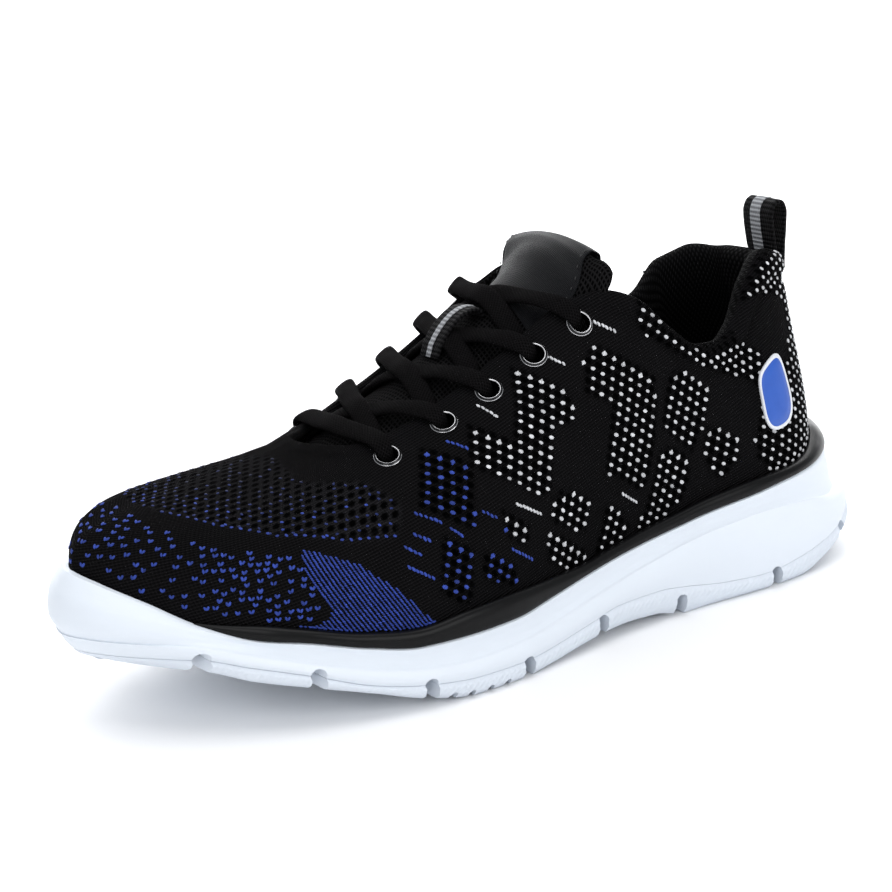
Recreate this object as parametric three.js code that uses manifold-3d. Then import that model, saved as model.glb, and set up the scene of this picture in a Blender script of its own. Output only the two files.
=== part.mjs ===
// Low-cut knitted safety sneaker for the left foot, with laces, pull loop and thick foam sole.
// Millimetres, +Z up, +X from heel to toe, +Y to the wearer's left, which is the outer side of this shoe.
// The origin is under the middle of the shoe, on the floor.

import * as THREE from 'three';
import { mergeVertices } from 'three/addons/utils/BufferGeometryUtils.js';
import Module from 'manifold-3d';

// Overall sizes
const LENGTH = 295;
const BALL_WIDTH = 108;
const SOLE_HEIGHT = 36;
const COLLAR_HEIGHT = 107;

// Clearance kept between pieces that meet
const GAP = 0.3;

// Sole
const GROOVE_WIDTH = 4.2;
const GROOVE_RISE = 0.19 * SOLE_HEIGHT;
const GROOVE_REACH = 13;
const GROOVE_MIDDLE = 2.2;
const NOTCH_WIDTH = 2.4;
const NOTCH_RISE = 2.2;
const NOTCH_REACH = 7;

// Rim, upper, insole
const UPPER_INSET = 6.8;
const TOE_LEAN = 1.2;
const HEEL_LEAN = 7.6;
const RIM_PROUD = 2.7;
const RIM_END = 0.905;
const WALL = 2.2;
const INSOLE_THICKNESS = 4.2;

// Tongue and what lies on it
const TONGUE_HALF_WIDTH = 0.226 * BALL_WIDTH;
const TONGUE_EDGE = 2.4;
const LABEL_HALF_WIDTH = 0.7 * TONGUE_HALF_WIDTH;
const LABEL_LENGTH = 19.5;
const LABEL_THICKNESS = 0.9;
const LABEL_FOLD = 7;
const KEEPER_WIDTH = 10;
const KEEPER_LENGTH = 19.5;
const KEEPER_RISE = 7.6;
const KEEPER_THICKNESS = 1.3;

// Eyelets and laces
const EYELET_RADIUS = 4.2;
const EYELET_BORE = 2.1;
const EYELET_BARREL = 2.8;
const EYELET_FLANGE = 0.8;
const EYELET_FROM_EDGE = 8;
const LACE_WIDTH = 6.8;
const LACE_THICKNESS = 2.4;
const LACE_DIVE = 8;
const BAR_BEND = 2.5;

// Pull loop and badge
const LOOP_WIDTH = 15;
const LOOP_THICKNESS = 1.7;
const LOOP_RISE = 28;
const LOOP_DEPTH = 7.4;
const LOOP_TAIL = 7;
const BADGE_WIDTH = 21;
const BADGE_HEIGHT = 25;
const BADGE_THICKNESS = 1;

// Samples around the foot and up the wall
const AROUND = 72;
const UP_WALL = 9;
const INSIDE_LEVELS = [0, 0.2, 0.4, 0.6, 0.8, 0.9, 1];

// Plan outline of the sole: x as a share of LENGTH, half widths as shares of BALL_WIDTH.
const OUTLINE = [
  { x: 0.0, lateral: 0.0, medial: 0.0 },
  { x: 0.02, lateral: 0.15, medial: 0.155 },
  { x: 0.055, lateral: 0.262, medial: 0.26 },
  { x: 0.11, lateral: 0.347, medial: 0.327 },
  { x: 0.2, lateral: 0.393, medial: 0.352 },
  { x: 0.3, lateral: 0.393, medial: 0.325 },
  { x: 0.4, lateral: 0.415, medial: 0.315 },
  { x: 0.5, lateral: 0.47, medial: 0.355 },
  { x: 0.58, lateral: 0.518, medial: 0.415 },
  { x: 0.66, lateral: 0.53, medial: 0.46 },
  { x: 0.74, lateral: 0.5, medial: 0.472 },
  { x: 0.82, lateral: 0.425, medial: 0.44 },
  { x: 0.89, lateral: 0.315, medial: 0.37 },
  { x: 0.945, lateral: 0.2, medial: 0.275 },
  { x: 0.985, lateral: 0.07, medial: 0.165 },
  { x: 1.0, lateral: -0.045, medial: 0.045 },
];

// Heights along the sole's side as shares of SOLE_HEIGHT, at x as a share of LENGTH.
const SOLE_LINES = [
  { x: 0.0, floor: 0.39, band: 0.47, crease: 0.57, lip: 1.0, rim: 1.2, foot: 0.86 },
  { x: 0.04, floor: 0.23, band: 0.38, crease: 0.59, lip: 0.995, rim: 1.2, foot: 0.86 },
  { x: 0.075, floor: 0.14, band: 0.31, crease: 0.61, lip: 0.985, rim: 1.14, foot: 0.855 },
  { x: 0.11, floor: 0.07, band: 0.26, crease: 0.66, lip: 0.97, rim: 1.08, foot: 0.85 },
  { x: 0.155, floor: 0.0, band: 0.2, crease: 0.72, lip: 0.945, rim: 1.04, foot: 0.84 },
  { x: 0.21, floor: 0.0, band: 0.155, crease: 0.74, lip: 0.9, rim: 1.02, foot: 0.8 },
  { x: 0.27, floor: 0.0, band: 0.18, crease: 0.7, lip: 0.85, rim: 0.97, foot: 0.75 },
  { x: 0.325, floor: 0.0, band: 0.25, crease: 0.64, lip: 0.79, rim: 0.9, foot: 0.69 },
  { x: 0.365, floor: 0.07, band: 0.29, crease: 0.58, lip: 0.75, rim: 0.85, foot: 0.65 },
  { x: 0.42, floor: 0.095, band: 0.295, crease: 0.505, lip: 0.69, rim: 0.78, foot: 0.585 },
  { x: 0.47, floor: 0.07, band: 0.24, crease: 0.44, lip: 0.63, rim: 0.73, foot: 0.525 },
  { x: 0.525, floor: 0.02, band: 0.18, crease: 0.37, lip: 0.56, rim: 0.725, foot: 0.46 },
  { x: 0.565, floor: 0.0, band: 0.155, crease: 0.335, lip: 0.52, rim: 0.73, foot: 0.42 },
  { x: 0.63, floor: 0.0, band: 0.16, crease: 0.315, lip: 0.51, rim: 0.71, foot: 0.4 },
  { x: 0.69, floor: 0.075, band: 0.205, crease: 0.345, lip: 0.515, rim: 0.665, foot: 0.405 },
  { x: 0.75, floor: 0.22, band: 0.3, crease: 0.44, lip: 0.6, rim: 0.72, foot: 0.45 },
  { x: 0.81, floor: 0.35, band: 0.465, crease: 0.57, lip: 0.72, rim: 0.83, foot: 0.525 },
  { x: 0.86, floor: 0.45, band: 0.58, crease: 0.69, lip: 0.79, rim: 0.92, foot: 0.6 },
  { x: 0.905, floor: 0.555, band: 0.67, crease: 0.79, lip: 0.93, rim: 1.02, foot: 0.67 },
  { x: 0.945, floor: 0.575, band: 0.68, crease: 0.82, lip: 1.12, rim: 1.16, foot: 0.72 },
  { x: 1.0, floor: 0.6, band: 0.69, crease: 0.85, lip: 1.36, rim: 1.38, foot: 0.78 },
];

// Inset of the sole's side from its outline at the sides, the toe and the heel, as shares of UPPER_INSET.
// level runs from floor (0) to band (1) in the tread, from band (1) over crease (2) to lip (3) in the foam.
const TREAD_PROFILE = [
  { level: 0.0, side: 0.38, toe: 1.6, heel: 0.6 },
  { level: 0.35, side: 0.07, toe: 1.25, heel: 0.2 },
  { level: 0.75, side: 0.0, toe: 0.95, heel: 0.03 },
  { level: 1.0, side: 0.13, toe: 0.87, heel: 0.15 },
];
const FOAM_PROFILE = [
  { level: 1.0, side: 0.13, toe: 0.87, heel: 0.15 },
  { level: 1.4, side: 0.03, toe: 0.6, heel: 0.1 },
  { level: 1.85, side: 0.12, toe: 0.4, heel: 0.25 },
  { level: 2.0, side: 0.24, toe: 0.3, heel: 0.75 },
  { level: 2.25, side: 0.52, toe: 0.0, heel: 0.9 },
  { level: 2.6, side: 0.65, toe: 0.15, heel: 1.05 },
  { level: 2.9, side: 0.62, toe: 0.55, heel: 1.16 },
  { level: 3.0, side: 0.75, toe: 0.8, heel: 1.24 },
];

// Cross grooves and small notches of the tread, x as a share of LENGTH.
const GROOVES = [0.073, 0.198, 0.335, 0.452, 0.567, 0.69, 0.803, 0.9];
const NOTCHES = [0.597, 0.619, 0.643, 0.665];

// Opening edge of the upper, heel to toe on the outer side. base is the foot of each wall line as a share
// of LENGTH. x is a share of LENGTH, y (half width) of BALL_WIDTH, z of COLLAR_HEIGHT, pad (edge thickness)
// counts walls.
// rise and drop are handle lengths as shares of the wall's height, reach as a share of its width in plan,
// lean is the outward swell of the wall as a share of BALL_WIDTH.
const OPENING = [
  { base: 0.0, x: 0.084, y: 0.0, z: 0.92, pad: 4.0, rise: 0.3, drop: 0.3, reach: 0.2, lean: -0.005 },
  { base: 0.025, x: 0.096, y: 0.125, z: 0.935, pad: 4.0, rise: 0.3, drop: 0.3, reach: 0.15, lean: 0.0 },
  { base: 0.075, x: 0.132, y: 0.2, z: 0.958, pad: 4.0, rise: 0.3, drop: 0.3, reach: 0.1, lean: 0.01 },
  { base: 0.13, x: 0.172, y: 0.25, z: 0.9, pad: 3.8, rise: 0.3, drop: 0.3, reach: 0.0, lean: 0.02 },
  { base: 0.18, x: 0.205, y: 0.275, z: 0.785, pad: 3.6, rise: 0.3, drop: 0.3, reach: 0.0, lean: 0.02 },
  { base: 0.225, x: 0.235, y: 0.292, z: 0.742, pad: 3.4, rise: 0.3, drop: 0.3, reach: 0.0, lean: 0.03 },
  { base: 0.275, x: 0.27, y: 0.305, z: 0.755, pad: 3.2, rise: 0.32, drop: 0.28, reach: 0.1, lean: 0.03 },
  { base: 0.32, x: 0.31, y: 0.312, z: 0.835, pad: 3.0, rise: 0.34, drop: 0.24, reach: 0.3, lean: 0.035 },
  { base: 0.36, x: 0.35, y: 0.3, z: 0.945, pad: 2.4, rise: 0.38, drop: 0.16, reach: 0.5, lean: 0.045 },
  { base: 0.395, x: 0.39, y: 0.255, z: 0.997, pad: 1.6, rise: 0.42, drop: 0.08, reach: 0.7, lean: 0.05 },
  { base: 0.43, x: 0.428, y: 0.22, z: 0.978, pad: 1.18, rise: 0.44, drop: 0.05, reach: 0.78, lean: 0.05 },
  { base: 0.49, x: 0.486, y: 0.207, z: 0.896, pad: 1.18, rise: 0.43, drop: 0.055, reach: 0.75, lean: 0.045 },
  { base: 0.55, x: 0.543, y: 0.199, z: 0.815, pad: 1.18, rise: 0.42, drop: 0.065, reach: 0.7, lean: 0.03 },
  { base: 0.615, x: 0.601, y: 0.189, z: 0.745, pad: 1.18, rise: 0.44, drop: 0.08, reach: 0.66, lean: 0.01 },
  { base: 0.685, x: 0.661, y: 0.168, z: 0.69, pad: 1.18, rise: 0.46, drop: 0.12, reach: 0.6, lean: 0.0 },
  { base: 0.775, x: 0.69, y: 0.122, z: 0.682, pad: 1.18, rise: 0.54, drop: 0.22, reach: 0.6, lean: 0.0 },
  { base: 0.87, x: 0.706, y: 0.08, z: 0.681, pad: 1.18, rise: 0.62, drop: 0.32, reach: 0.62, lean: 0.0 },
  { base: 0.95, x: 0.713, y: 0.038, z: 0.681, pad: 1.18, rise: 0.65, drop: 0.38, reach: 0.66, lean: 0.0 },
  { base: 1.0, x: 0.715, y: 0.0, z: 0.681, pad: 1.18, rise: 0.66, drop: 0.4, reach: 0.68, lean: 0.0 },
];

// Left and right curve of the opening's middle line, as shares of BALL_WIDTH, and how much higher the ankle
// stands on the inner side, as a share of COLLAR_HEIGHT.
const THROAT_SHIFT = 0.01;
const TOE_SHIFT = -0.035;
const MEDIAL_ANKLE_LIFT = 0.02;

// On the inner side the toe end of the sole's lines starts earlier, as a share of LENGTH, the vamp stands
// fuller, as a share of the wall's height, and the collar behind the ankle lies lower.
const MEDIAL_TOE_LEAD = 0.045;
const MEDIAL_FULLNESS = 0.2;
const MEDIAL_HEEL_DROP = 0.025;

// Rows of eyelets from toe to ankle: base shares of OPENING that carry them.
const EYELET_BASES = [0.678, 0.605, 0.543, 0.483, 0.423];

// Tongue: x as a share of LENGTH, top as a share of COLLAR_HEIGHT at the middle, crown as the drop from
// there to its edge and thickness as shares of TONGUE_HALF_WIDTH.
const TONGUE = [
  { x: 0.362, top: 1.105, crown: 0.45, thickness: 0.26 },
  { x: 0.37, top: 1.125, crown: 0.5, thickness: 0.38 },
  { x: 0.39, top: 1.115, crown: 0.7, thickness: 0.38 },
  { x: 0.424, top: 1.055, crown: 0.78, thickness: 0.3 },
  { x: 0.486, top: 0.94, crown: 0.64, thickness: 0.25 },
  { x: 0.543, top: 0.848, crown: 0.55, thickness: 0.23 },
  { x: 0.6, top: 0.768, crown: 0.46, thickness: 0.22 },
  { x: 0.66, top: 0.69, crown: 0.42, thickness: 0.18 },
  { x: 0.7, top: 0.636, crown: 0.42, thickness: 0.14 },
  { x: 0.735, top: 0.588, crown: 0.44, thickness: 0.11 },
];

// Position of the keeper's middle and of the badge on the wall.
const KEEPER_AT = 0.516;
const BADGE_BASE = 0.15;
const BADGE_UP = 0.42;
const BADGE_TILT = 10;

// Smooth curve through the rows of a table, without overshoot.
function tableCurve(rows, across, column) {
  const xs = rows.map((row) => row[across]);
  const ys = rows.map((row) => row[column]);
  const slopes = xs.slice(1).map((x, i) => (ys[i + 1] - ys[i]) / (x - xs[i]));
  const tangents = ys.map((_, i) => {
    if (i === 0) return slopes[0];
    if (i === ys.length - 1) return slopes[i - 1];
    if (slopes[i - 1] * slopes[i] <= 0) return 0;
    return (2 * slopes[i - 1] * slopes[i]) / (slopes[i - 1] + slopes[i]);
  });
  return (x) => {
    const at = Math.min(Math.max(x, xs[0]), xs[xs.length - 1]);
    let i = 0;
    while (i < xs.length - 2 && at > xs[i + 1]) i += 1;
    const width = xs[i + 1] - xs[i];
    const t = (at - xs[i]) / width;
    const a = ys[i] * (2 * t * t * t - 3 * t * t + 1);
    const b = ys[i + 1] * (3 * t * t - 2 * t * t * t);
    const c = tangents[i] * width * (t * t * t - 2 * t * t + t);
    const d = tangents[i + 1] * width * (t * t * t - t * t);
    return a + b + c + d;
  };
}

function smoothstep(low, high, value) {
  const t = Math.min(Math.max((value - low) / (high - low), 0), 1);
  return t * t * (3 - 2 * t);
}

// A closed body from points and triangles, turned so that its faces point out.
function bodyGeometry(points, triangles) {
  let volume = 0;
  triangles.forEach(([a, b, c]) => {
    volume += points[a].dot(new THREE.Vector3().crossVectors(points[b], points[c]));
  });
  const turned = volume < 0 ? triangles.map(([a, b, c]) => [a, c, b]) : triangles;
  const geometry = new THREE.BufferGeometry().setFromPoints(points);
  geometry.setIndex(turned.flat());
  geometry.computeVertexNormals();
  return geometry;
}

// Skin between closed rows of equal length. ends is 'wrap' (last row meets the first), 'pairs' (flat across
// from each point to its partner, with a point at each tip), 'strip' (the same without the tips) or 'fan'
// (convex end).
function skin(rows, ends) {
  const count = rows[0].length;
  const points = rows.flat();
  const triangles = [];
  const last = ends === 'wrap' ? rows.length : rows.length - 1;
  for (let r = 0; r < last; r += 1) {
    const next = (r + 1) % rows.length;
    for (let i = 0; i < count; i += 1) {
      const j = (i + 1) % count;
      triangles.push([r * count + i, r * count + j, next * count + j]);
      triangles.push([r * count + i, next * count + j, next * count + i]);
    }
  }
  const cap = (start, flip) => {
    const add = (a, b, c) => triangles.push(flip ? [a, c, b] : [a, b, c]);
    if (ends === 'fan') {
      for (let i = 1; i < count - 1; i += 1) add(start, start + i + 1, start + i);
    } else {
      const tip = ends === 'pairs' ? 0 : 1;
      for (let i = 0; i < count / 2 - tip; i += 1) {
        const a = start + i;
        const b = start + i + 1;
        const c = start + ((count - i - 1 - tip) % count);
        const d = start + ((count - i - tip) % count);
        if (b !== c) add(a, c, b);
        if (a !== d) add(a, d, c);
      }
    }
  };
  if (ends !== 'wrap') {
    cap(0, false);
    cap((rows.length - 1) * count, true);
  }
  return bodyGeometry(points, triangles);
}

// Outline points from the heel round the outer side to the toe and back along the inner side.
function makeOutline() {
  const lateral = OUTLINE.map((row) => [row.x, row.lateral]);
  const medial = OUTLINE.slice(1, -1).map((row) => [row.x, -row.medial]).reverse();
  const knots = [...lateral, ...medial].map(
    ([x, y]) => new THREE.Vector3(x * LENGTH, y * BALL_WIDTH, 0));
  const curve = new THREE.CatmullRomCurve3(knots, true, 'centripetal');
  const dense = 40;
  const raw = curve.getPoints(knots.length * dense);
  const toe = (OUTLINE.length - 1) * dense;
  const half = (line) => {
    const lengths = [0];
    line.slice(1).forEach((p, i) => lengths.push(lengths[i] + p.distanceTo(line[i])));
    const total = lengths[lengths.length - 1];
    return Array.from({ length: AROUND / 2 }, (_, k) => {
      const want = (total * k) / (AROUND / 2);
      let i = 0;
      while (i < line.length - 2 && lengths[i + 1] < want) i += 1;
      const t = (want - lengths[i]) / (lengths[i + 1] - lengths[i]);
      return line[i].clone().lerp(line[i + 1], t);
    });
  };
  return [...half(raw.slice(0, toe + 1)), ...half(raw.slice(toe))];
}

const outline = makeOutline();
const outward = outline.map((_, i) => {
  const before = outline[(i + AROUND - 1) % AROUND];
  const after = outline[(i + 1) % AROUND];
  const along = after.clone().sub(before).normalize();
  return new THREE.Vector3(-along.y, along.x, 0);
});
const share = outline.map((p) => Math.min(Math.max(p.x / LENGTH, 0), 1));
const soleShare = share.map((x, i) => (
  i <= AROUND / 2 ? x : Math.min(x + MEDIAL_TOE_LEAD * smoothstep(0.8, 0.93, x), 1)));

const soleLine = {};
['floor', 'band', 'crease', 'lip', 'rim', 'foot'].forEach((name) => {
  const curve = tableCurve(SOLE_LINES, 'x', name);
  soleLine[name] = (x) => curve(x) * SOLE_HEIGHT;
});

// Shares of the way into the toe bumper and into the heel, 0 at the shoe's sides.
const toeShare = share.map((x) => smoothstep(0.86, 1, x));
const heelShare = share.map((x) => 1 - smoothstep(0, 0.16, x));
const upperInset = share.map((_, i) => UPPER_INSET + toeShare[i] * TOE_LEAN + heelShare[i] * HEEL_LEAN);

// One closed row around the foot, set in from the outline and at a height, both given per sample.
function row(inset, height) {
  return outline.map((p, i) => {
    const point = p.clone().addScaledVector(outward[i], -inset(i));
    return point.setZ(height(i));
  });
}

// Row of a side profile: its inset and height follow the lines of the sole.
function profileRow({ level, side, toe, heel }, seam) {
  const lines = [soleLine.floor, soleLine.band, soleLine.crease, soleLine.lip];
  const below = Math.min(Math.floor(level), lines.length - 2);
  const inset = (i) => (side + (toe - side) * toeShare[i] + (heel - side) * heelShare[i]) * UPPER_INSET;
  const height = (i) => {
    const low = lines[below](soleShare[i]);
    const high = lines[below + 1](soleShare[i]);
    return low + (high - low) * (level - below) + seam;
  };
  return row(inset, height);
}

function makeOutsole() {
  return skin(TREAD_PROFILE.map((ring) => profileRow(ring, 0)), 'pairs');
}

function makeMidsole() {
  const inner = (i) => upperInset[i] - GAP;
  return skin([
    ...FOAM_PROFILE.map((ring) => profileRow(ring, ring.level === 1 ? GAP : 0)),
    row(inner, (i) => soleLine.lip(soleShare[i])),
    row(inner, (i) => soleLine.foot(soleShare[i])),
  ], 'pairs');
}

// The band is open at the toe, so it is a sweep along part of the way round, through the heel.
function makeRim() {
  const samples = [];
  for (let k = -AROUND / 2; k < AROUND / 2; k += 1) {
    const i = (k + AROUND) % AROUND;
    if (share[i] < RIM_END) samples.push(i);
  }
  const at = (i, inset, height) => outline[i].clone().addScaledVector(outward[i], -inset).setZ(height);
  const sections = samples.map((i) => {
    const low = soleLine.lip(soleShare[i]) + GAP;
    const high = soleLine.rim(soleShare[i]);
    const inner = upperInset[i] - GAP;
    const proud = RIM_PROUD * (1 - smoothstep(RIM_END - 0.05, RIM_END, share[i]) * 0.6);
    const flare = heelShare[i] * HEEL_LEAN * 0.45;
    return [
      at(i, inner, low),
      at(i, inner - proud - flare, low),
      at(i, inner - proud - flare * 0.6, low + (high - low) * 0.55),
      at(i, inner - proud * 0.35, high),
      at(i, inner, high),
    ];
  });
  return skin(sections, 'fan');
}

function makeInsole() {
  const clear = (i) => upperInset[i] + WALL + 2 * GAP;
  const foot = (i) => soleLine.foot(soleShare[i]) + 2 * GAP;
  return skin([
    row(clear, foot),
    row(clear, (i) => foot(i) + INSOLE_THICKNESS * 0.8),
    row((i) => clear(i) + INSOLE_THICKNESS * 0.5, (i) => foot(i) + INSOLE_THICKNESS),
  ], 'pairs');
}

const openingCurve = {};
['x', 'y', 'z', 'pad', 'rise', 'drop', 'reach', 'lean'].forEach((name) => {
  openingCurve[name] = tableCurve(OPENING, 'base', name);
});

// Everything that shapes one wall line of the upper, at a share of the length and on one side.
function wallLine(base, side, sole, plan, out, inset) {
  const get = (name) => openingCurve[name](base);
  const middle = THROAT_SHIFT * smoothstep(0, 0.3, base) + TOE_SHIFT * smoothstep(0.75, 1, base);
  const ankle = smoothstep(0.1, 0.2, base) * (1 - smoothstep(0.3, 0.4, base));
  const heel = smoothstep(0, 0.05, base) * (1 - smoothstep(0.09, 0.15, base));
  const inner = side < 0 ? 1 : 0;
  const lift = inner * (MEDIAL_ANKLE_LIFT * ankle - MEDIAL_HEEL_DROP * heel);
  const full = inner * MEDIAL_FULLNESS * smoothstep(0.6, 0.85, base) * (1 - smoothstep(0.975, 1, base));
  const top = new THREE.Vector3(
    get('x') * LENGTH,
    (get('y') * side + middle) * BALL_WIDTH,
    (get('z') + lift) * COLLAR_HEIGHT);
  const foot = plan.clone().addScaledVector(out, -inset).setZ(soleLine.foot(sole) + GAP);
  const start = foot.clone().setZ(soleLine.rim(sole) + GAP);
  const height = top.z - start.z;
  const inPlan = new THREE.Vector3(start.x - top.x, start.y - top.y, 0);
  const low = start.clone()
    .add(new THREE.Vector3(0, 0, (get('rise') + full) * height))
    .addScaledVector(out, get('lean') * BALL_WIDTH);
  const high = top.clone()
    .addScaledVector(inPlan, get('reach'))
    .add(new THREE.Vector3(0, 0, -get('drop') * height));
  const curve = new THREE.CubicBezierCurve3(start, low, high, top);
  return { foot, curve, pad: get('pad') * WALL };
}

const walls = outline.map((p, i) => {
  const side = i <= AROUND / 2 ? 1 : -1;
  return wallLine(share[i], side, soleShare[i], p, outward[i], upperInset[i]);
});

// Normal of the outer surface at a wall and a share of its curve, from neighbouring walls.
function wallNormal(i, t) {
  const step = 0.02;
  const before = walls[(i + AROUND - 1) % AROUND].curve.getPoint(t);
  const after = walls[(i + 1) % AROUND].curve.getPoint(t);
  const below = walls[i].curve.getPoint(Math.max(t - step, 0));
  const above = walls[i].curve.getPoint(Math.min(t + step, 1));
  const around = after.sub(before);
  const up = above.sub(below);
  return up.cross(around).normalize();
}

function makeUpperShell() {
  const wallThickness = (i, t) => WALL + (walls[i].pad - WALL) * smoothstep(0.35, 0.95, t);
  const outerRow = (t) => walls.map((wall) => wall.curve.getPoint(t));
  const innerRow = (t) => walls.map((wall, i) => {
    const out = wallNormal(i, t);
    return wall.curve.getPoint(t).addScaledVector(out, -wallThickness(i, t));
  });
  const ups = Array.from({ length: UP_WALL + 1 }, (_, k) => k / UP_WALL);
  const outer = [walls.map((wall) => wall.foot.clone()), ...ups.map(outerRow)];
  const inner = INSIDE_LEVELS.map(innerRow);
  const innerFoot = walls.map((wall, i) => wall.foot.clone().addScaledVector(outward[i], -WALL));
  const topOuter = outer[outer.length - 1];
  const topInner = inner[inner.length - 1];
  const edge = [0.3, 0.7].map((turn) => topOuter.map((p, i) => {
    const middle = p.clone().lerp(topInner[i], 0.5);
    const across = p.clone().sub(middle);
    const up = walls[i].curve.getTangent(1).multiplyScalar(across.length());
    const angle = turn * Math.PI;
    return middle.addScaledVector(across, Math.cos(angle)).addScaledVector(up, Math.sin(angle));
  }));
  return skin([...outer, ...edge, ...inner.reverse(), innerFoot], 'wrap');
}

// Eyelet places: on the outer surface, a set way down from the opening's edge.
function wallAt(base, side) {
  const half = AROUND / 2;
  const order = [...Array(half + 1).keys()].map((k) => (side > 0 ? k : (AROUND - k) % AROUND));
  let k = 0;
  while (k < half - 1 && share[order[k + 1]] < base) k += 1;
  const t = (base - share[order[k]]) / (share[order[k + 1]] - share[order[k]]);
  return { a: order[k], b: order[k + 1], t };
}

function surfacePoint(base, side, up) {
  const { a, b, t } = wallAt(base, side);
  const point = walls[a].curve.getPoint(up).lerp(walls[b].curve.getPoint(up), t);
  const normal = wallNormal(a, up).lerp(wallNormal(b, up), t).normalize();
  return { point, normal };
}

function fromEdge(base, side, distance) {
  let up = 1;
  const edge = surfacePoint(base, side, 1).point;
  while (up > 0 && surfacePoint(base, side, up).point.distanceTo(edge) < distance) up -= 0.005;
  return { ...surfacePoint(base, side, up), edge };
}

function turnedTo(geometry, point, normal) {
  const turn = new THREE.Quaternion().setFromUnitVectors(new THREE.Vector3(0, 1, 0), normal);
  return geometry.applyQuaternion(turn).translate(point.x, point.y, point.z);
}

function makeEyelet(place) {
  const half = WALL;
  const profile = [
    [EYELET_BORE, -half],
    [EYELET_BARREL, -half],
    [EYELET_BARREL, GAP],
    [EYELET_RADIUS, GAP],
    [EYELET_BORE + 0.3, GAP + EYELET_FLANGE],
    [EYELET_BORE, -half],
  ].map(([x, y]) => new THREE.Vector2(x, y));
  return turnedTo(new THREE.LatheGeometry(profile, 10), place.point, place.normal);
}

const tongueCurve = {};
['top', 'crown', 'thickness'].forEach((name) => {
  tongueCurve[name] = tableCurve(TONGUE, 'x', name);
});

const throatMiddle = THROAT_SHIFT * BALL_WIDTH;

// Height of the tongue's upper face.
function tongueTop(x, y) {
  const at = x / LENGTH;
  const across = (y - throatMiddle) / TONGUE_HALF_WIDTH;
  return tongueCurve.top(at) * COLLAR_HEIGHT - tongueCurve.crown(at) * TONGUE_HALF_WIDTH * across ** 2;
}

function makeTongue() {
  const first = TONGUE[0].x;
  const last = TONGUE[TONGUE.length - 1].x;
  const steps = 18;
  const across = [-1, -0.8, -0.5, -0.17, 0.17, 0.5, 0.8, 1];
  const sections = Array.from({ length: steps + 1 }, (_, k) => {
    const at = first + (last - first) * (k / steps);
    const width = TONGUE_HALF_WIDTH * (0.9 + 0.1 * smoothstep(first, first + 0.04, at))
      * (1 - 0.3 * smoothstep(0.6, last, at));
    const thick = tongueCurve.thickness(at) * TONGUE_HALF_WIDTH;
    const x = at * LENGTH;
    const upper = across.map((v) => {
      const y = throatMiddle + v * width;
      return new THREE.Vector3(x, y, tongueTop(x, y));
    });
    const lower = across.map((v, j) => {
      const depth = TONGUE_EDGE + (thick - TONGUE_EDGE) * (1 - v ** 4);
      return upper[j].clone().setZ(upper[j].z - Math.min(depth, thick));
    }).reverse();
    return [...upper, ...lower];
  });
  return skin(sections, 'strip');
}

// A thin patch on the tongue, folded down over its free end.
function makeLabel() {
  const end = TONGUE[0].x * LENGTH;
  const across = [-1, -0.75, -0.45, -0.15, 0.15, 0.45, 0.75, 1];
  const steps = 6;
  const seat = 2 * GAP;
  const strip = (out, over) => across.map((v) => out(throatMiddle + v * LABEL_HALF_WIDTH, over));
  const section = (out) => [...strip(out, LABEL_THICKNESS), ...strip(out, 0).reverse()];
  const hanging = (down) => section((y, over) => (
    new THREE.Vector3(end - GAP - over, y, tongueTop(end, y) - down)));
  const lying = (x) => section((y, over) => new THREE.Vector3(x, y, tongueTop(x, y) + seat + over));
  const corner = section((y, over) => (
    new THREE.Vector3(end - GAP - over * 0.7, y, tongueTop(end, y) + seat + over * 0.7)));
  const sections = [hanging(LABEL_FOLD), hanging(0), corner];
  for (let k = 0; k <= steps; k += 1) sections.push(lying(end + 1 + ((LABEL_LENGTH - 1) * k) / steps));
  return skin(sections, 'strip');
}

// A polygon in the X-Z plane given a width along Y, centred on the middle of the shoe.
function acrossShoe(outer, hole, width, middle) {
  const shape = new THREE.Shape(outer.map(([x, z]) => new THREE.Vector2(x, z)));
  if (hole) shape.holes.push(new THREE.Path(hole.map(([x, z]) => new THREE.Vector2(x, z))));
  const geometry = new THREE.ExtrudeGeometry(shape, { depth: width, bevelEnabled: false });
  geometry.rotateX(Math.PI / 2);
  geometry.translate(0, middle + width / 2, 0);
  return geometry;
}

function makeKeeper() {
  const start = KEEPER_AT * LENGTH - KEEPER_LENGTH / 2;
  const steps = 9;
  const bridge = (inset, rise) => Array.from({ length: steps + 1 }, (_, k) => {
    const f = k / steps;
    const x = start + inset + (KEEPER_LENGTH - 2 * inset) * f;
    const arch = Math.min(1, Math.sin(Math.PI * f) * 2.2) * rise;
    return [x, tongueTop(x, throatMiddle) + GAP + arch];
  });
  const outer = bridge(0, KEEPER_RISE);
  const inner = bridge(KEEPER_THICKNESS, KEEPER_RISE - KEEPER_THICKNESS).reverse();
  return acrossShoe([...outer, ...inner], null, KEEPER_WIDTH, throatMiddle);
}

// Pull loop: a flattened ring of webbing on a double tail, up as a share of LOOP_RISE, half as a share of
// LOOP_DEPTH, lean as the middle's way forward as a share of LOOP_DEPTH.
const LOOP = [
  { up: 0.0, half: 0.2, lean: 0.0 },
  { up: 0.16, half: 0.2, lean: 0.1 },
  { up: 0.3, half: 0.27, lean: 0.16 },
  { up: 0.5, half: 0.38, lean: 0.2 },
  { up: 0.7, half: 0.47, lean: 0.2 },
  { up: 0.84, half: 0.5, lean: 0.18 },
  { up: 0.93, half: 0.4, lean: 0.16 },
  { up: 0.98, half: 0.22, lean: 0.14 },
];

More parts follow.
